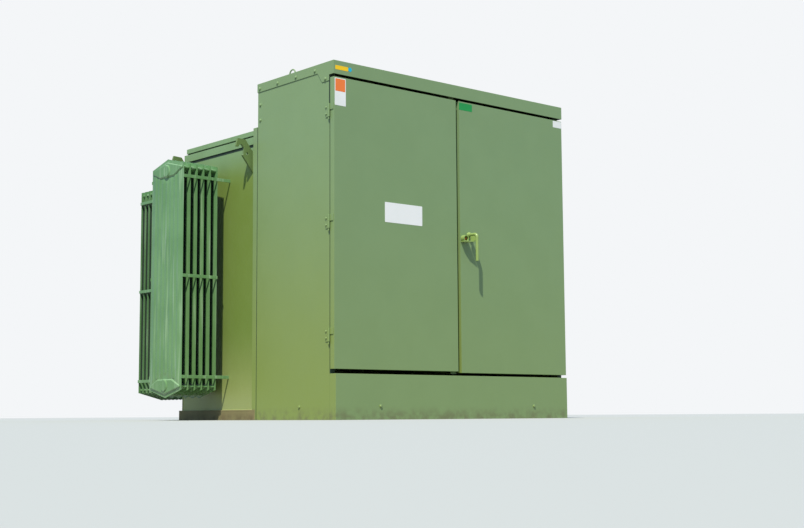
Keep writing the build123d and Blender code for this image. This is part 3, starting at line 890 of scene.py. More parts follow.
@dataclass
class Plates:
    """All the sheets and plates, with painted shade in the gaps and joints where shade falls."""

    # Painted shade: the strip beside the doors, the height above which it widens, the edge at the
    # gasket and the drop under the band
    gap_shade_strip: float = 6.0
    gap_shade_foot: float = 1800.0
    gasket_shade_edge: float = 1.6
    band_shadow_drop: float = 17.0
    plate_fold: float = 1.5
    soft_fold: float = 1.0
    bar_fold: float = 0.8
    small_fold: float = 0.6

    def wall(self, node: str) -> None:
        """Build one of the cabinet's walls, with painted shade in the gap beside the door.

        Args:
            node: The wall's node.
        """
        edge, foot = low_of(node).y + self.gap_shade_strip, self.gap_shade_foot
        cuts = (((0, edge, 0), (0, 1, 0)), ((0, 0, foot), (0, 0, 1)))

        def in_door_gap_shade(at: Vector, way: Vector) -> bool:
            """Tell whether a face gets the door gap's painted shade, which is wider above the upper
            hinge.
            """
            return at.y < edge and (at.z > foot or way.y < -ALONG)

        FoldedSheet(node, cuts=cuts, shaded_faces=in_door_gap_shade).build()

    def tank(self) -> None:
        """Build the tank's plates, with painted shade beside the gasket and painted shadow under
        the band.
        """
        cover = low_of("tank_cover").z + self.gasket_shade_edge
        band = high_of("tank_band").z - self.gasket_shade_edge
        under = low_of("tank_band").z - self.band_shadow_drop
        across = (((0, 0, under), (0, 0, 1)),)

        def in_band_shade(at: Vector, way: Vector) -> bool:
            """Tell whether a face is the band's underside or its edge at the gasket."""
            return way.z < -SLOPES or (at.z > band and abs(way.z) < SQUARE)

        # The walls get a painted shadow under the band; the band's underside and its edge at the
        # gasket, and the cover's edge there, get painted shade
        sheets = [
            (f"tank_{side}_wall", across, lambda at, way: at.z > under and abs(way.z) < TILTED)
            for side in ("left", "right", "rear")
        ]
        sheets.append(("tank_band", (), in_band_shade))
        sheets.append(("tank_cover", (), lambda at, way: at.z < cover and abs(way.z) < SQUARE))
        for node, cuts, shaded_faces in sheets:
            FoldedSheet(
                node, finish=TANK_GREEN, fold=self.plate_fold, cuts=cuts, shaded_faces=shaded_faces
            ).build()

    def front_plate(self) -> None:
        """Build the plate between the tank and the cabinet, with painted shade along its edge
        beside the cabinet.
        """
        front, beyond = low_of("tank_front_plate").y + NEAR, high_of("cabinet_right_wall").x
        FoldedSheet(
            "tank_front_plate",
            cuts=tuple(((side * beyond, 0, 0), (1, 0, 0)) for side in (-1, 1)),
            shaded_faces=lambda at, way: at.y < front and abs(at.x) > beyond and way.y < -ALONG,
        ).build()

    def doors(self) -> None:
        """Build the doors, their stiffeners, both halves of their hinges and the hasp."""
        for side, place in (("left", Place.LEFT_DOOR), ("right", Place.RIGHT_DOOR)):
            FoldedSheet(f"{side}_door", place).build()
            FoldedSheet(f"{side}_door_stiffeners", place).build()
            FoldedSheet(f"{side}_door_hinges", place, fold=self.small_fold).build()
            FoldedSheet(f"{side}_wall_hinges", fold=self.small_fold).build()
        FoldedSheet("handle_hasp", Place.RIGHT_DOOR, HANDLE_GREEN, fold=self.small_fold).build()

    def build(self) -> None:
        """Build every sheet and plate."""
        for node in ("cabinet_back_panel", "hood", "front_sill", "compartment_barrier"):
            FoldedSheet(node).build()
        self.wall("cabinet_left_wall")
        self.wall("cabinet_right_wall")
        self.tank()
        self.front_plate()
        base, bar, soft = self.plate_fold, self.bar_fold, self.soft_fold
        FoldedSheet("tank_base", finish=BASE_GREEN, slot=Slot.BASE, fold=base).build()
        FoldedSheet("tank_floor", finish=BASE_GREEN, slot=Slot.BASE, fold=base).build()
        FoldedSheet("lifting_lugs", finish=SHADED_LUG_GREEN).build()
        FoldedSheet("cover_gasket", finish=GASKET, slot=Slot.GASKET, fold=soft).build()
        self.doors()
        for node in ("side_radiator_bars", "rear_radiator_bars"):
            FoldedSheet(node, finish=RADIATOR_GREEN, slot=Slot.RADIATOR, fold=bar).build()
        FoldedSheet("lv_spades", finish=TIN_PLATE, slot=Slot.COPPER, fold=bar).build()
        for node in ("parking_stands", "ground_pads"):
            FoldedSheet(node, finish=MILL_STEEL, slot=Slot.STAINLESS, fold=soft).build()


# Radiators


@dataclass
class PressedPanel:
    """One radiator panel: two fluted pressings seam-welded round their flange."""

    width: float = 380.0
    low: float = 191.0
    high: float = 1621.0
    peak: float = 50.0
    flange: float = 12.0
    flange_half: float = 1.6
    body_half: float = 4.0
    slope: float = 6.0
    flute_count: int = 7
    flute_pitch: float = 48.0
    flute_half: float = 18.0
    crest_half: float = 7.0
    flute_height: float = 3.6
    flute_low: float = 287.0
    flute_high: float = 1530.0
    flute_rise: float = 0.35
    flute_run: float = 16.0
    # Between these heights the faces between the panels get painted shade
    dark_between: tuple[float, float] = (262.0, 1545.0)

    def columns(self) -> list[float]:
        """Give the X of each flute's middle."""
        middle = (self.flute_count - 1) / 2
        return [(number - middle) * self.flute_pitch for number in range(self.flute_count)]

    def ridge(self, across: float, offset: float, top: bool) -> float:
        """Give the height of a line parallel to a peaked end, at a distance from the middle."""
        reach = self.peak * (1 - abs(across) / (self.width / 2)) - offset
        return self.high + reach if top else self.low - reach

    def in_body(self, x: float, y: float) -> bool:
        """Tell whether a point lies inside the flange and its slope."""
        inner = self.flange + self.slope
        return abs(x) < self.width / 2 - inner and (
            self.ridge(x, inner, False) < y < self.ridge(x, inner, True)
        )

    def in_crest(self, x: float, y: float) -> bool:
        """Tell whether a point lies on the flat top of a flute.

        Args:
            x: The point's place across the panel, in mm.
            y: Its height in mm.

        Returns:
            Whether it does.
        """
        nearest = min(abs(x - column) for column in self.columns())
        run = self.flute_run - self.flute_rise * abs(x)
        return nearest < self.crest_half and self.flute_low + run < y < self.flute_high - run

    def cut_ends(self, offset: float, trim: bool = False) -> None:
        """Cut along both peaked ends.

        Args:
            offset: How far the cut is set in, in mm.
            trim: Remove what lies beyond it.
        """
        half = self.width / 2
        for top in (True, False):
            for side in (-1, 1):
                normal = (side * self.peak, half if top else -half, 0)
                cut((0, self.ridge(0, offset, top), 0), normal, trim)

    def cut_across(self, x: float) -> None:
        """Cut along an upright line."""
        cut((x, 0, 0), (1, 0, 0))

    def half_shell(self) -> Piece:
        """Press one sheet, flat on the X-Y plane with its flutes towards +Z.

        Returns:
            The pressed sheet.
        """
        deselect_all()
        bpy.ops.mesh.primitive_plane_add(size=1)
        sheet = bpy.context.object
        with edit_mode(sheet) as mesh:
            bpy.ops.mesh.select_all(action="SELECT")
            height = self.high - self.low + 2 * self.peak
            middle = (self.high + self.low) / 2
            bpy.ops.transform.resize(value=(self.width * MM, height * MM, 1))
            bpy.ops.transform.translate(value=(0, middle * MM, 0))
            self.cut_ends(0, trim=True)
            for offset in (self.flange, self.flange + self.slope):
                self.cut_ends(offset)
                for side in (-1, 1):
                    self.cut_across(side * (self.width / 2 - offset))
            for column in self.columns():
                for reach in (-self.flute_half, -self.crest_half, self.crest_half, self.flute_half):
                    self.cut_across(column + reach)
            for run in (0.0, self.flute_run):
                for slant in (-self.flute_rise, self.flute_rise):
                    cut((0, self.flute_low + run, 0), (slant, 1, 0))
                    cut((0, self.flute_high - run, 0), (-slant, 1, 0))
            for edge in self.dark_between:
                cut((0, edge, 0), (0, 1, 0))
            bpy.ops.mesh.select_all(action="SELECT")
            lift(self.flange_half)
            pick_faces(sheet, mesh, self.in_body)
            lift(self.body_half - self.flange_half)
            pick_faces(sheet, mesh, self.in_crest)
            lift(self.flute_height)
        return sheet

    def build(self) -> Piece:
        """Close two pressed sheets round their flange.

        Returns:
            The panel, flat in the X-Y plane about Z = 0.
        """
        front = self.half_shell()
        back = copy_of(front, "panel_back", Matrix.Scale(-1, 4, (0, 0, 1)))
        panel = joined([front, back], "pressed_panel")
        with edit_mode(panel) as mesh:
            bpy.ops.mesh.select_mode(type="EDGE")
            for edge in mesh.edges:
                edge.select_set(edge.is_boundary)
            bmesh.update_edit_mesh(panel.data)
            bpy.ops.mesh.bridge_edge_loops()
            face_outwards()
        return panel


@dataclass
class HeaderPressing:
    """The header drawn out of a panel's end: a peaked outline that narrows to its weld."""

    half_width: float = 180.0
    shoulder_low: float = 2.0
    shoulder_high: float = 12.0
    flat_half: float = 88.0
    flat_reach: float = 41.0
    peak_reach: float = 60.0
    draw_in: float = 3.0
    round_over: float = 2.0
    rounded_from: float = 30.0

    def outline(self) -> Piece:
        """Cut the header's outline out of a plane, with its peak towards +Y.

        Returns:
            The flat outline.
        """
        rise = self.peak_reach - self.shoulder_high
        drop = self.flat_reach + self.shoulder_low
        run = self.half_width - self.flat_half
        deselect_all()
        bpy.ops.mesh.primitive_plane_add(size=2 * self.half_width * MM)
        made = bpy.context.object
        with edit_mode(made):
            for side in (-1, 1):
                cut((0, self.peak_reach, 0), (side * rise, self.half_width, 0), trim=True)
                corner = (side * self.flat_half, -self.flat_reach, 0)
                cut(corner, (side * drop, -run, 0), trim=True)
            cut((0, -self.flat_reach, 0), (0, -1, 0), trim=True)
            make_whole()
        return made

    def drawn(self, height: float, draw_in: float) -> Piece:
        """Draw the outline out along +Z and in towards its middle.

        Args:
            height: How far it stands out, in mm.
            draw_in: How far each side moves in, in mm.

        Returns:
            The pressing, open where it joins its panel.
        """
        share_x = 1 - draw_in / self.half_width
        share_y = 1 - draw_in / ((self.peak_reach + self.flat_reach) / 2)
        middle = (0, (self.peak_reach - self.flat_reach) / 2 * MM, height * MM)
        made = self.outline()
        with edit_mode(made):
            bpy.ops.mesh.select_all(action="SELECT")
            extrude(0, 0, height)
            bpy.ops.transform.resize(value=(share_x, share_y, 1), center_override=middle)
            face_outwards()
        bevel_edges(made, self.round_over, limit=self.rounded_from)
        return made

    def pair(self, gap: float) -> Piece:
        """Set two pressings back to back to fill the gap between two panels, from Z = 0.

        Args:
            gap: Distance between the panels' faces, in mm.

        Returns:
            The pair as one object.
        """
        near = self.drawn(gap / 2, self.draw_in)
        flip = placed((0, 0, gap), Matrix.Scale(-1, 4, (0, 0, 1)))
        made = joined([near, copy_of(near, "far_pressing", flip)], "header_pair")
        with edit_mode(made):
            face_outwards()
        return made


@dataclass
class Radiator:
    """A bank of pressed panels on headers, standing out of a wall at the origin along +Y."""

    panels: int
    first: float = 97.0
    pitch: float = 50.0
    header_low: float = 220.0
    header_high: float = 1592.0
    outlet_radius: float = 38.0
    emboss: float = 7.5
    emboss_draw_in: float = 9.0
    boss_radius: float = 42.0
    boss_top_radius: float = 34.0
    boss_height: float = 13.8
    boss_rim: float = 8.0
    boss_edge: float = 1.0
    boss_round: float = 0.8
    # How far out from the middle the faces between the panels get painted shade
    shaded_half: float = 150.0
    smooth_angle: float = 28.0
    panel: PressedPanel = field(default_factory=PressedPanel)
    header: HeaderPressing = field(default_factory=HeaderPressing)

    def upright(self, offset: float, height: float = 0.0, flipped: bool = False) -> Matrix:
        """Matrix from a flat piece to its place in the bank.

        Args:
            offset: Distance from the wall, in mm.
            height: Height of the piece's middle, in mm.
            flipped: Turn it upside down.

        Returns:
            The matrix.
        """
        turn = axes((-1, 0, 0), (0, 0, 1), (0, 1, 0))
        if flipped:
            turn = turn @ Matrix.Rotation(pi, 4, "Z")
        return placed((0, offset, height), turn)

    def boss(self) -> Piece:
        """Turn the round boss on the last header.

        Returns:
            The boss, standing on the X-Y plane.
        """
        radius, top_radius, edge = self.boss_radius, self.boss_top_radius, self.boss_edge
        outline = (
            (radius, 0), (radius, self.emboss), (radius - edge, self.emboss + self.boss_round),
            (top_radius + edge, self.boss_height - self.boss_round),
            (top_radius, self.boss_height), (top_radius - self.boss_rim, self.boss_height),
        )
        return turned("boss", outline)

    def in_painted_shade(self, at: Vector, way: Vector) -> bool:
        """Tell whether a face lies deep between the panels, or faces up below them, and gets
        painted shade.

        Args:
            at: The face's middle in mm.
            way: Its normal.

        Returns:
            Whether it does.
        """
        low, high = self.panel.dark_between
        last = self.first + (self.panels - 1) * self.pitch
        deep = abs(way.y) > ALONG and low < at.z < high
        floor = way.z > SLOPES and at.z < low
        return abs(at.x) < self.shaded_half and at.y < last and (deep or floor)

    def build(self) -> Piece:
        """Build the bank.

        Returns:
            The bank as one object.
        """
        body = self.panel.body_half
        panel = self.panel.build()
        pair = self.header.pair(self.pitch - 2 * body)
        emboss = self.header.drawn(self.emboss, self.emboss_draw_in)
        outlet = rod("outlet", self.outlet_radius, self.first, 32)
        boss = self.boss()
        parts = []
        for number in range(self.panels):
            offset = self.first + number * self.pitch
            parts.append(copy_of(panel, "panel", self.upright(offset)))
            last = number == self.panels - 1
            for height, flipped in ((self.header_high, False), (self.header_low, True)):
                seat = self.upright(offset + body, height, flipped)
                parts.append(copy_of(emboss if last else pair, "header", seat))
                if last:
                    parts.append(copy_of(boss, "cap", self.upright(offset + body, height)))
                if number == 0:
                    parts.append(copy_of(outlet, "stub", self.upright(0, height)))
        for pattern in (panel, pair, emboss, outlet, boss):
            bpy.data.objects.remove(pattern)
        bank = joined(parts, "bank")
        mark_painted_shade(bank, self.in_painted_shade)
        smooth(bank, radians(self.smooth_angle))
        return bank

    def stand(self, seats: dict[str, Matrix]) -> None:
        """Stand a bank of its own mesh in place of each radiator node.

        Args:
            seats: Where each node's bank goes, by the node's name.
        """
        bank = self.build()
        for node, seat in seats.items():
            made = copy_of(bank, f"{node}_pressed", seat)
            finish_piece(made, RADIATOR_GREEN, Place.TANK, (node,), (PAINTED_SHADE,))
        bpy.data.objects.remove(bank)


@dataclass
class Cooling:
    """The side and rear radiators on the tank."""

    side_panels: int = 6
    rear_panels: int = 12
    rear_count: int = 4
    # The rear banks' painted shade reaches nearly to the panels' edges
    rear_shaded_half: float = 181.0

    def build(self) -> None:
        """Stand the radiators on the tank's walls."""
        wall, rear_wall = low_of("tank_left_wall").x, high_of("tank_rear_wall").y
        side_y = middle_of("left_radiator").y
        side_seats = {
            node: placed((x, side_y, 0), Matrix.Rotation(radians(turn), 4, "Z"))
            for node, x, turn in (("left_radiator", wall, 90), ("right_radiator", -wall, -90))
        }
        rears = [f"rear_radiator_{number + 1}" for number in range(self.rear_count)]
        rear_seats = {node: placed((middle_of(node).x, rear_wall, 0)) for node in rears}
        Radiator(self.side_panels).stand(side_seats)
        Radiator(self.rear_panels, shaded_half=self.rear_shaded_half).stand(rear_seats)


# Fasteners and welds


@dataclass(frozen=True)
class Fastener:
    """A painted round-head bolt on a washer.

    The dome gives shares of the head's radius and height, from its washer up.
    """

    head_radius: float = 8.0
    head_height: float = 5.0
    washer_radius: float = 11.0
    washer_height: float = 1.6
    sides: int = 14
    sunk: float = 0.5
    washer_edge: float = 1.0
    washer_wall: float = 0.7
    dome: Outline = ((1.0, 0.0), (0.96, 0.5), (0.7, 0.88), (0.25, 1.0))

    def build(self) -> Piece:
        """Turn the bolt's head and washer.

        Returns:
            The bolt, standing on the X-Y plane.
        """
        base = self.washer_height
        washer = (
            (self.washer_radius, -self.sunk), (self.washer_radius, base * self.washer_wall),
            (self.washer_radius - self.washer_edge, base),
        )
        head = tuple((self.head_radius * a, base + self.head_height * b) for a, b in self.dome)
        return turned("bolt", washer + head, self.sides)


@dataclass
class BoltGroup:
    """Like bolts on one body, joined as one piece."""

    name: str
    seats: list[tuple[Point, Facing]]
    place: Place = Place.TANK
    bolt: Fastener = Fastener()
    finish: Finish = CABINET_GREEN
    slot: Slot = Slot.PAINT

    def build(self) -> None:
        """Set a bolt on each seat."""
        made = repeated(self.bolt.build(), self.name, [stand_on(at, way) for at, way in self.seats])
        finish_piece(made, self.finish, self.place)


def mirrored(places: list[Point]) -> list[tuple[Point, Facing]]:
    """Give seats on the right side, and their mirrored partners on the left."""
    right = [(place, Facing.RIGHT) for place in places]
    return right + [((-x, y, z), Facing.LEFT) for x, y, z in places]


@dataclass
class Bolts:
    """The bolts that show. A place given by two sizes is its Y and its Z."""

    cabinet_bolt: Fastener = Fastener(9.0, 6.0, 12.0, 1.6)
    hinge_bolt: Fastener = Fastener(6.5, 5.5, 7.5, 1.2)
    security_bolt: Fastener = Fastener(10.0, 20.0, 13.5, 2.0, sides=5)
    hood_ys: tuple[float, ...] = (-361.5, -551.5, -743.5, -935.5)
    hood_height: float = 2083.0
    ear: Spot = (-1038.5, 2015.0)
    wall: tuple[Spot, ...] = ((-363.0, 1979.0), (-363.0, 1880.0), (-781.5, 76.5))
    sill_xs: tuple[float, ...] = (-649.5, 655.5)
    sill_height: float = 79.0
    hinge_heights: tuple[float, ...] = (492.0, 1156.0, 1820.0)
    hinge_y: float = -1047.0
    hinge_inset: float = 12.0
    hinge_rise: float = 20.0
    cover_ys: tuple[float, ...] = (-200.0, -20.0, 160.0, 340.0)
    cover_inset: float = 22.0
    cover_corner: float = 60.0
    cover_rear_count: int = 11
    cup_inset: float = 22.5
    cup_depth: float = 6.0

    def cabinet(self) -> None:
        """Bolt the hood, its ears, the walls and the sill."""
        hood, wall = high_of("hood").x, high_of("cabinet_right_wall").x
        places = [(hood, y, self.hood_height) for y in self.hood_ys] + [(hood, *self.ear)]
        places += [(wall, *spot) for spot in self.wall]
        sill_y = low_of("front_sill").y
        seats = mirrored(places)
        seats += [((x, sill_y, self.sill_height), Facing.FRONT) for x in self.sill_xs]
        BoltGroup("cabinet_bolts", seats, bolt=self.cabinet_bolt).build()

    def hinges(self) -> None:
        """Bolt the hinges' wall halves."""
        leaf = high_of("right_wall_hinges").x - self.hinge_inset
        rises = (-self.hinge_rise, self.hinge_rise)
        places = [(leaf, self.hinge_y, z + rise) for z in self.hinge_heights for rise in rises]
        BoltGroup("hinge_bolts", mirrored(places), bolt=self.hinge_bolt).build()

    def cover(self) -> None:
        """Bolt the tank's cover round its rim."""
        cover = high_of("tank_cover")
        side, corner = cover.x - self.cover_inset, cover.x - self.cover_corner
        rim = [(x, y, cover.z) for y in self.cover_ys for x in (-side, side)]
        rear = cover.y - self.cover_inset
        rim += [(x, rear, cover.z) for x in row(-corner, corner, self.cover_rear_count)]
        seats = [(place, Facing.UP) for place in rim]
        BoltGroup("cover_bolts", seats, finish=TANK_GREEN).build()

    def security(self) -> None:
        """Set the five-sided security bolt in the hasp's cup."""
        hasp = low_of("handle_hasp").x + self.cup_inset
        height = high_of("handle_hasp").z - self.cup_inset
        seat = ((hasp, low_of("right_door").y - self.cup_depth, height), Facing.FRONT)
        BoltGroup(
            "security_bolt", [seat], Place.RIGHT_DOOR, self.security_bolt, SILICON_BRONZE,
            Slot.BRASS,
        ).build()

    def build(self) -> None:
        """Set all the bolts."""
        self.cabinet()
        self.hinges()
        self.cover()
        self.security()


@dataclass
class WeldBead:
    """A hand-laid weld bead with its ripples, along +Z from the origin."""

    length: float
    ripple: float = 9.0
    crest: float = 0.6
    radius: float = 4.0
    trough: float = 3.1
    sides: int = 8

    def build(self) -> Piece:
        """Lay the bead.

        Returns:
            The bead, standing on the X-Y plane.
        """
        count = round(self.length / self.ripple)
        step = self.length / count
        outline = [(self.trough, 0.0)]
        for number in range(count):
            outline.append((self.radius, (number + self.crest) * step))
            outline.append((self.trough, (number + 1) * step))
        return turned("bead", tuple(outline), self.sides)


@dataclass
class Welds:
    """The welds of the tank's corners, its foot and the lifting lugs."""

    lug_length: float = 139.0
    lug_width: float = 16.0
    smooth_angle: float = 60.0

    def lay(self, name: str, seats: list[tuple[float, Point, Facing]]) -> None:
        """Lay weld beads on the tank as one piece.

        Args:
            name: The piece's name.
            seats: Length, start and direction of each bead, in mm.
        """
        patterns = {length: WeldBead(length).build() for length in {seat[0] for seat in seats}}
        beads = [copy_of(patterns[length], name, stand_on(at, way)) for length, at, way in seats]
        for pattern in patterns.values():
            bpy.data.objects.remove(pattern)
        made = joined(beads, name)
        smooth(made, radians(self.smooth_angle))
        finish_piece(made, TANK_GREEN, Place.TANK)

    def build(self) -> None:
        """Lay the welds of the tank and of its lugs."""
        low, high = low_of("tank_right_wall"), high_of("tank_right_wall")
        lug_low, lug_high = low_of("lifting_lugs"), high_of("lifting_lugs")
        rear = high_of("tank_rear_wall").y
        ends = (lug_low.y, lug_low.y + self.lug_width, lug_high.y - self.lug_width, lug_high.y)
        tank, lugs = [], []
        for x in (-high.x, high.x):
            tank.append((high.z - low.z, (x, rear, low.z), Facing.UP))
            tank.append((rear - low.y, (x, low.y, low.z), Facing.REAR))
            lugs += [(self.lug_length, (x, y, lug_low.z), Facing.UP) for y in ends]
        tank.append((2 * high.x, (-high.x, rear, low.z), Facing.RIGHT))
        self.lay("tank_welds", tank)
        self.lay("lug_welds", lugs)


# Door handle and lifting eyes


@dataclass
class DoorHandle:
    """The bent bar handle with the web in its bend, its shaft, the latch cam and the boss."""

    bar_radius: float = 10.0
    bend: float = 22.0
    web_half: float = 6.5
    web_drop: float = 42.0
    web_set_in: float = 4.5
    shaft_radius: float = 8.0
    cam_plate: float = 6.0
    cam_drop: float = 55.0
    boss_gap: float = 20.3
    boss_taper: float = 0.72
    bore_margin: float = 4.0
    bar_edge: float = 1.5
    bar_edge_from: float = 50.0
    web_edge: float = 1.2
    shaft_edge: float = 1.0
    cam_edge: float = 2.0

    def boss(self) -> None:
        """Taper the cast boss that the shaft turns in, from the door out."""
        middle = middle_of("handle_boss")
        front = low_of("handle_boss").y + NEAR
        bore = self.shaft_radius + self.bore_margin
        made = copy_of(bpy.data.objects["handle_boss"], "handle_boss_cast")
        with edit_mode(made) as mesh:
            make_whole()
            bpy.ops.mesh.select_all(action="DESELECT")
            bpy.ops.mesh.select_mode(type="VERT")
            for vertex in mesh.verts:
                away = vertex.co / MM - middle
                vertex.select_set(away.xz.length > bore and vertex.co.y / MM < front)
            bmesh.update_edit_mesh(made.data)
            shares = (self.boss_taper, 1, self.boss_taper)
            bpy.ops.transform.resize(value=shares, center_override=middle * MM)
        bevel_edges(made, self.bar_edge)
        smooth(made)
        finish_piece(made, HANDLE_GREEN, Place.RIGHT_DOOR, ("handle_boss",))

    def build(self) -> None:
        """Bend the bar, fill its bend and set it on its shaft, with the cam behind the door."""
        self.boss()
        low, high = low_of("door_handle"), high_of("door_handle")
        x = (low.x + high.x) / 2
        z = high.z - (high.x - low.x) / 2
        start_y = low_of("right_door").y - self.boss_gap
        bar_y = low.y + self.bar_radius
        reach = start_y - bar_y - self.bend
        tail = z - self.bend - low.z
        bar = bent_bar("bar", self.bar_radius, reach, self.bend, 90, tail)
        settle(bar, placed((x, start_y, z), axes((0, 0, -1), (1, 0, 0), (0, -1, 0))))
        web_low = (x - self.web_half, bar_y + self.web_set_in, z - self.web_drop)
        web = block("web", web_low, (x + self.web_half, start_y, z - self.web_set_in))
        shaft = rod("shaft", self.shaft_radius, high.y - start_y)
        settle(shaft, stand_on((x, high.y, z), Facing.FRONT))
        cam_low = (low.x, high.y - self.cam_plate, z - self.cam_drop)
        cam = block("cam", cam_low, (high.x, high.y, high.z))
        bevel_edges(bar, self.bar_edge, 3, self.bar_edge_from)
        bevel_edges(web, self.web_edge)
        bevel_edges(shaft, self.shaft_edge)
        bevel_edges(cam, self.cam_edge, 3)
        made = joined([bar, web, shaft, cam], "bent_bar_handle")
        smooth(made)
        finish_piece(made, HANDLE_GREEN, Place.HANDLE, ("door_handle",))


@dataclass
class LiftingEyes:
    """Two round-bar eyes welded to the roof."""

    bar_radius: float = 4.5
    bend: float = 29.0
    leg: float = 3.5
    from_middle: float = 965.0
    from_front: float = 443.5
    sunk: float = 1.0
    weld: Outline = ((8.5, 0), (8, 1.6), (6.2, 3.6), (4.4, 6.5))

    def build(self) -> None:
        """Bend an eye, weld its feet and set one on each side."""
        eye = bent_bar("eye", self.bar_radius, self.leg, self.bend, 180, self.leg)
        foot = turned("foot", self.weld, 20)
        eye = joined([eye, foot, copy_of(foot, "foot", placed((2 * self.bend, 0, 0)))], "eye")
        turn = axes((0, 1, 0), (-1, 0, 0), (0, 0, 1))
        y = low_of("hood").y + self.from_front - self.bend
        z = high_of("hood").z - self.sunk
        places = [placed((x, y, z), turn) for x in (-self.from_middle, self.from_middle)]
        made = repeated(eye, "bent_lifting_eyes", places)
        finish_piece(made, CABINET_GREEN, Place.TANK, ("hood_lifting_eyes",))


# Gear behind the doors


@dataclass
class TurnedGear:
    """Like round pieces that stand out of the front plate, each turned from one outline."""

    name: str
    outline: Outline
    seats: list[Spot]
    finish: Finish
    slot: Slot
    nodes: tuple[str, ...] = ()
    steps: int = 32

    def build(self) -> None:
        """Turn one piece and set a copy on each seat."""
        pattern = turned(self.name, self.outline, self.steps)
        made = repeated(pattern, self.name, [on_plate(seat) for seat in self.seats])
        finish_piece(made, self.finish, Place.TANK, self.nodes)


def on_plate(seat: Spot, rise: float = 0.0) -> Matrix:
    """Matrix that stands a piece on the front plate, at an X and a Z, with a rise in mm."""
    return stand_on((seat[0], low_of("tank_front_plate").y - rise, seat[1]), Facing.FRONT)


def seats_of(node: str, count: int = 1, radius: float = 0.0) -> list[Spot]:
    """Give the X and Z of a node's round pieces, evenly spaced in one row.

    Args:
        node: The node.
        count: How many pieces it has.
        radius: A piece's radius in mm.

    Returns:
        The middle of each piece.
    """
    middle = middle_of(node)
    if count == 1:
        return [(middle.x, middle.z)]
    return [(x, middle.z) for x in row(low_of(node).x + radius, high_of(node).x - radius, count)]


@dataclass
class HighVoltageGear:
    """The bushings with their clamps and nuts, and the fuse holders with their pull eyes."""

    clamp_radius: float = 61.0
    clamp_height: float = 14.0
    nut_circle: float = 53.0
    nut: Fastener = Fastener(6.5, 6.0, 8.0, 1.5, 6)
    barrel_radius: float = 30.0
    pull_rise: float = 128.5
    pull_bend: float = 9.0
    pull_leg: float = 5.0
    pull_bar: float = 3.0
    sheath: Outline = (
        (44, 12), (46, 18), (46, 66), (43, 72), (41, 122), (38, 124), (30, 126), (27, 228),
        (22, 233.5),
    )
    clamp: Outline = ((61, 0), (62, 2), (62, 11), (59, 14), (48, 14), (46.5, 17))
    barrel: Outline = (
        (24, 0), (24, 6), (21, 9), (21, 84), (24, 88), (29, 91), (30, 96), (30, 124), (27, 129.5),
        (10, 130),
    )

    def bushings(self) -> None:
        """Build the bushings, their clamps and the clamps' nuts."""
        seats = seats_of("hv_bushings", 3, self.clamp_radius)
        TurnedGear(
            "dead_front_bushings", self.sheath, seats, MOULDED_RUBBER, Slot.RUBBER, ("hv_bushings",)
        ).build()
        TurnedGear("bushing_clamps", self.clamp, seats, MILL_STEEL, Slot.STAINLESS).build()
        nut_y = low_of("tank_front_plate").y - self.clamp_height
        reach = self.nut_circle
        turns = [radians(45 + 90 * number) for number in range(4)]
        nuts = [(x + reach * cos(a), nut_y, z + reach * sin(a)) for x, z in seats for a in turns]
        BoltGroup(
            "bushing_nuts", [(nut, Facing.FRONT) for nut in nuts], bolt=self.nut,
            finish=MILL_STEEL, slot=Slot.STAINLESS,
        ).build()

    def fuses(self) -> None:
        """Build the fuse holders and their pull eyes."""
        seats = seats_of("fuse_holders", 3, self.barrel_radius)
        TurnedGear(
            "fuse_barrels", self.barrel, seats, MOULDED_RUBBER, Slot.RUBBER, ("fuse_holders",)
        ).build()
        leg = self.pull_leg
        pull = bent_bar("pull", self.pull_bar, leg, self.pull_bend, 180, leg)
        settle(pull, placed((-self.pull_bend, 0, 0)))
        places = [on_plate(seat, self.pull_rise) for seat in seats]
        made = repeated(pull, "fuse_pull_eyes", places)
        finish_piece(made, MILL_STEEL, Place.TANK)

    def build(self) -> None:
        """Build the gear of the left compartment."""
        self.bushings()
        self.fuses()


@dataclass
class LowVoltageGear:
    """The porcelain bushings with their sheds, threaded studs and nuts."""

    radius: float = 46.4
    foot: Outline = ((46, 0), (48, 2), (48, 9), (44, 13), (37, 15))
    shed: Outline = ((37, 0), (46.5, 5), (47, 7.5), (38, 10))
    shed_count: int = 3
    shed_low: float = 17.0
    shed_pitch: float = 13.0
    top: Outline = ((34, 57), (30, 60))
    stud_radius: float = 16.0
    root_radius: float = 14.6
    stud_low: float = 58.0
    thread_low: float = 70.0
    thread_pitch: float = 3.6
    thread_turns: int = 16
    nut: Outline = ((24, 60), (27, 62), (27, 74), (24, 76), (17, 76))

    def build(self) -> None:
        """Build the bushings, the studs and the nuts."""
        seats = seats_of("lv_bushings", 4, self.radius)
        rises = [self.shed_low + number * self.shed_pitch for number in range(self.shed_count)]
        sheds = tuple((radius, rise + z) for rise in rises for radius, z in self.shed)
        bushing = self.foot + sheds + self.top
        TurnedGear(
            "porcelain_bushings", bushing, seats, PORCELAIN, Slot.PORCELAIN, ("lv_bushings",)
        ).build()
        stud = [(self.stud_radius, self.stud_low)]
        for number in range(self.thread_turns):
            crest = self.thread_low + number * self.thread_pitch
            stud.append((self.stud_radius, crest))
            stud.append((self.root_radius, crest + self.thread_pitch / 2))
        TurnedGear("terminal_studs", tuple(stud), seats, TIN_PLATE, Slot.COPPER).build()
        TurnedGear("terminal_nuts", self.nut, seats, CAST_BRASS, Slot.BRASS, steps=6).build()


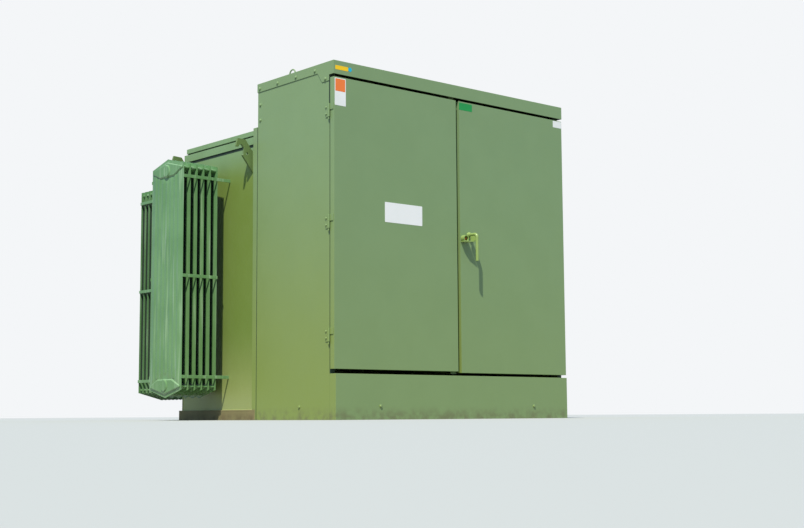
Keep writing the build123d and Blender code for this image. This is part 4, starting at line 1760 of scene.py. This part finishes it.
@dataclass
class Gauges:
    """Two round gauges with bare dials, ticks and needles."""

    radius: float = 62.0
    rise: float = 39.0
    case: Outline = (
        (57, 0), (57, 34), (61, 37), (62, 39), (62, 42), (60, 43), (57, 43), (55, 41), (54, 39),
    )
    card_radius: float = 53.5
    card_sunk: float = 0.5
    card: float = 0.4
    ticks: int = 9
    tick_half: float = 1.0
    tick_deep: float = 1.0
    tick_low: float = 38.0
    tick_long: float = 48.0
    tick_short: float = 45.0
    sweep_start: float = 225.0
    sweep: float = 270.0
    needle_angle: float = -40.0
    needle_low: Point = (-1.4, -1.8, -12.0)
    needle_high: Point = (1.4, -0.6, 40.0)
    hub: Outline = ((5, 0), (5, 1.6), (4, 2.4))
    mark_edge: float = 0.15

    def marks(self, x: float, z: float) -> list[Piece]:
        """Build one dial's ticks, needle and hub.

        Args:
            x: X of the dial's middle in mm.
            z: Z of the dial's middle in mm.

        Returns:
            The marks.
        """
        middle = (x, low_of("tank_front_plate").y - self.rise - self.card, z)
        made = []
        for number in range(self.ticks):
            turn = radians(self.sweep_start - self.sweep * number / (self.ticks - 1))
            end = self.tick_long if number % 2 == 0 else self.tick_short
            low = (-self.tick_half, -self.tick_deep, self.tick_low)
            tick = block("tick", low, (self.tick_half, 0, end))
            settle(tick, placed(middle, Matrix.Rotation(pi / 2 - turn, 4, "Y")))
            made.append(tick)
        needle = block("needle", self.needle_low, self.needle_high)
        settle(needle, placed(middle, Matrix.Rotation(radians(self.needle_angle), 4, "Y")))
        hub = turned("hub", self.hub, 20)
        settle(hub, stand_on(middle, Facing.FRONT))
        return [*made, needle, hub]

    def build(self) -> None:
        """Build the cases, the dial cards and their marks."""
        seats = seats_of("gauges", 2, self.radius)
        TurnedGear(
            "gauge_cases", self.case, seats, SATIN_METAL, Slot.GAUGE, ("gauges",), steps=48
        ).build()
        low, high = self.rise - self.card_sunk, self.rise + self.card
        card = ((self.card_radius, low), (self.card_radius, high))
        TurnedGear("gauge_dials", card, seats, DIAL_WHITE, Slot.GAUGE, steps=48).build()
        made = joined([mark for x, z in seats for mark in self.marks(x, z)], "dial_marks")
        bevel_edges(made, self.mark_edge, segments=1)
        finish_piece(made, GASKET, Place.TANK)


@dataclass
class ReliefValve:
    """The pressure relief valve on the front plate."""

    outline: Outline = (
        (24, 0), (24, 10), (18, 13), (18, 36), (22, 39), (22, 52), (19, 56), (8, 59), (6, 60),
    )

    def build(self) -> None:
        """Turn the valve."""
        seats, node = seats_of("pressure_relief"), ("pressure_relief",)
        TurnedGear("relief_valve", self.outline, seats, CAST_BRASS, Slot.BRASS, node).build()


@dataclass
class DrainValve:
    """The drain valve: a body out of the plate, a bonnet up from it and a spoked wheel."""

    pipe_rise: float = 22.0
    stem_reach: float = 45.0
    wheel_radius: float = 31.5
    rim_radius: float = 4.0
    hub_drop: float = 8.0
    body: Outline = (
        (22, 0), (22, 12), (17, 15), (17, 62), (20, 66), (22, 68), (22, 88), (20, 90),
    )
    bonnet: Outline = ((16, 0), (16, 26), (12, 30), (12, 44), (8, 48), (6, 52), (6, 78))
    spoke: Outline = ((4.5, 0), (3, 12), (3, 31))
    hub: Outline = ((9, 0), (9, 7), (7, 8))

    def rim(self, middle: Point) -> Piece:
        """Bend the wheel's rim.

        Args:
            middle: The wheel's middle in mm.

        Returns:
            The rim.
        """
        deselect_all()
        bpy.ops.mesh.primitive_torus_add(
            major_segments=36, minor_segments=12, major_radius=self.wheel_radius * MM,
            minor_radius=self.rim_radius * MM, location=Vector(middle) * MM,
        )
        return taken("rim")

    def build(self) -> None:
        """Build the valve."""
        low, high = low_of("drain_valve"), high_of("drain_valve")
        x, z, y = (low.x + high.x) / 2, low.z + self.pipe_rise, high.y
        stem_y = y - self.stem_reach
        wheel = (x, stem_y, high.z - self.rim_radius)
        pieces = [
            ("body", self.body, 32, (x, y, z), Facing.FRONT),
            ("bonnet", self.bonnet, 32, (x, stem_y, z), Facing.UP),
            ("wheel_hub", self.hub, 20, (x, stem_y, high.z - self.hub_drop), Facing.UP),
        ]
        ways = (Facing.LEFT, Facing.RIGHT, Facing.FRONT, Facing.REAR)
        pieces += [("spoke", self.spoke, 10, wheel, way) for way in ways]
        made = []
        for name, outline, steps, at, way in pieces:
            made.append(turned(name, outline, steps))
            settle(made[-1], stand_on(at, way))
        valve = joined([*made, self.rim(wheel)], "drain_valve_cast")
        smooth(valve)
        finish_piece(valve, CAST_BRASS, Place.TANK, ("drain_valve",))


# Stickers


@dataclass
class Sticker:
    """A bare vinyl sticker or plate with rounded corners, on the front."""

    name: str
    low: Spot
    high: Spot
    finish: Plain
    place: Place
    thickness: float = 0.5
    corner: float = 4.0

    def build(self, face_y: float) -> None:
        """Cut the sticker and press it on a face.

        Args:
            face_y: Y of the face in mm.
        """
        width, height = self.high[0] - self.low[0], self.high[1] - self.low[1]
        deselect_all()
        bpy.ops.mesh.primitive_plane_add(size=1)
        made = bpy.context.object
        made.name = self.name
        with edit_mode(made):
            bpy.ops.mesh.select_all(action="SELECT")
            bpy.ops.transform.resize(value=(width * MM, height * MM, 1))
            bpy.ops.mesh.bevel(offset=self.corner * MM, segments=4, affect="VERTICES")
            bpy.ops.mesh.select_all(action="SELECT")
            extrude(0, 0, self.thickness)
            face_outwards()
        middle = (self.low[0] + width / 2, face_y, self.low[1] + height / 2)
        settle(made, placed(middle, axes((1, 0, 0), (0, 0, 1), (0, -1, 0))))
        finish_piece(made, self.finish, self.place)


LABELS = (
    Sticker("left_door_plate", (-598.5, 1183), (-297.5, 1305), VINYL_WHITE, Place.LEFT_DOOR),
    Sticker("left_door_label", (-982, 1846), (-898.5, 2011), VINYL_WHITE, Place.LEFT_DOOR),
    Sticker(
        "left_door_panel", (-977, 1932), (-903.5, 2007), VINYL_ORANGE, Place.LEFT_DOOR,
        thickness=0.8, corner=2.0,
    ),
    Sticker("right_door_label", (24.5, 1963), (138.5, 2010), VINYL_GREEN, Place.RIGHT_DOOR),
    Sticker("right_door_small_label", (901.5, 1969), (984, 2014), VINYL_WHITE, Place.RIGHT_DOOR),
    Sticker("roof_strip", (-977.5, 2062), (-881, 2087), VINYL_YELLOW, Place.TANK),
    Sticker("roof_dot", (-879, 2062), (-853, 2088), VINYL_BLUE, Place.TANK, corner=12.9),
)


class Labels:
    """The bare labels on the doors and the roof's lip."""

    def build(self) -> None:
        """Press each label on the front."""
        for label in LABELS:
            label.build(low_of("left_door").y)


# Studio


@dataclass
class Studio:
    """Floor, background, lights and camera. The camera's angles are in radians."""

    camera_place: Point = (-5771.9, -7248.7, 25.0)
    yaw: float = 0.7134656
    pitch: float = 0.1119573
    roll: float = -0.0059464
    lens: float = 60.230
    nearest: float = 50.0
    sun_travel: Point = (1.0, 0.734, -1.897)
    sun_strength: float = 4.7
    sun_softness: float = 1.0
    sun_colour: tuple[float, float, float] = (1.0, 0.955, 0.84)
    sky_strength: float = 0.66
    sky_colour: str = "#B8D6F7"
    background: str = "#F4F6F8"
    floor_size: float = 80000.0
    floor_colour: str = "#B4B6B4"
    floor_bounce: str = "#8A887A"
    floor_roughness: float = 0.9

    def camera(self) -> None:
        """Set the camera where the photograph was taken from."""
        level = cos(self.pitch)
        ahead = Vector((sin(self.yaw) * level, cos(self.yaw) * level, sin(self.pitch)))
        right = Vector((cos(self.yaw), -sin(self.yaw), 0))
        up = right.cross(ahead)
        across = right * cos(self.roll) + up * sin(self.roll)
        upward = up * cos(self.roll) - right * sin(self.roll)
        data = bpy.data.cameras.new("camera")
        data.lens = self.lens
        data.clip_start = self.nearest * MM
        camera = bpy.data.objects.new("camera", data)
        camera.matrix_world = placed(self.camera_place, axes(across, upward, -ahead))
        bpy.context.scene.collection.objects.link(camera)
        bpy.context.scene.camera = camera

    def floor(self) -> None:
        """Lay the plain floor, which is paler to the eye than in the light it throws back."""
        deselect_all()
        bpy.ops.mesh.primitive_plane_add(size=self.floor_size * MM)
        ground = bpy.context.object
        ground.name = "floor"
        made = bpy.data.materials.new("pale_floor")
        made.use_nodes = True
        tree = made.node_tree
        bounced = add_node(tree, "ShaderNodeLightPath").outputs["Is Diffuse Ray"]
        settings = {"operation": "SUBTRACT", "use_clamp": True}
        seen = add_node(tree, "ShaderNodeMath", settings, {0: 1.0}, {1: bounced}).outputs[0]
        colour = layered(tree, self.floor_bounce, [(seen, self.floor_colour)])
        shader = tree.nodes["Principled BSDF"].inputs
        tree.links.new(colour, shader["Base Color"])
        shader["Roughness"].default_value = self.floor_roughness
        ground.data.materials.append(made)

    def sky(self) -> None:
        """Light the object evenly, and show the camera a pale background."""
        world = bpy.data.worlds.new("studio")
        world.use_nodes = True
        tree = world.node_tree
        rays = add_node(tree, "ShaderNodeLightPath").outputs
        links = {0: rays["Is Camera Ray"], 1: rays["Is Transmission Ray"]}
        seen = add_node(tree, "ShaderNodeMath", {"operation": "MAXIMUM"}, links=links).outputs[0]
        light = tree.nodes["Background"]
        light.inputs["Color"].default_value = linear(self.sky_colour)
        light.inputs["Strength"].default_value = self.sky_strength
        values = {"Color": linear(self.background), "Strength": 1.0}
        shown = add_node(tree, "ShaderNodeBackground", values=values)
        links = {0: seen, 1: light.outputs[0], 2: shown.outputs[0]}
        both = add_node(tree, "ShaderNodeMixShader", links=links)
        tree.links.new(both.outputs[0], tree.nodes["World Output"].inputs[0])
        bpy.context.scene.world = world

    def key_light(self) -> None:
        """Set the key light, high on the left of the front."""
        data = bpy.data.lights.new("key", "SUN")
        data.energy = self.sun_strength
        data.angle = radians(self.sun_softness)
        data.color = self.sun_colour
        key = bpy.data.objects.new("key", data)
        key.rotation_euler = Vector(self.sun_travel).to_track_quat("-Z", "Y").to_euler()
        bpy.context.scene.collection.objects.link(key)

    def build(self) -> None:
        """Build the studio."""
        self.camera()
        self.floor()
        self.sky()
        self.key_light()
        bpy.context.scene.view_settings.view_transform = "Standard"


def main() -> None:
    """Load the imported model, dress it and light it."""
    logging.basicConfig(level=logging.INFO, format="%(message)s")
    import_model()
    parts = (
        Plates(), Cooling(), DoorHandle(), LiftingEyes(), HighVoltageGear(), LowVoltageGear(),
        Gauges(), ReliefValve(), DrainValve(), Bolts(), Welds(), Labels(), Studio(),
    )
    for part in parts:
        part.build()


if __name__ == "__main__":
    main()
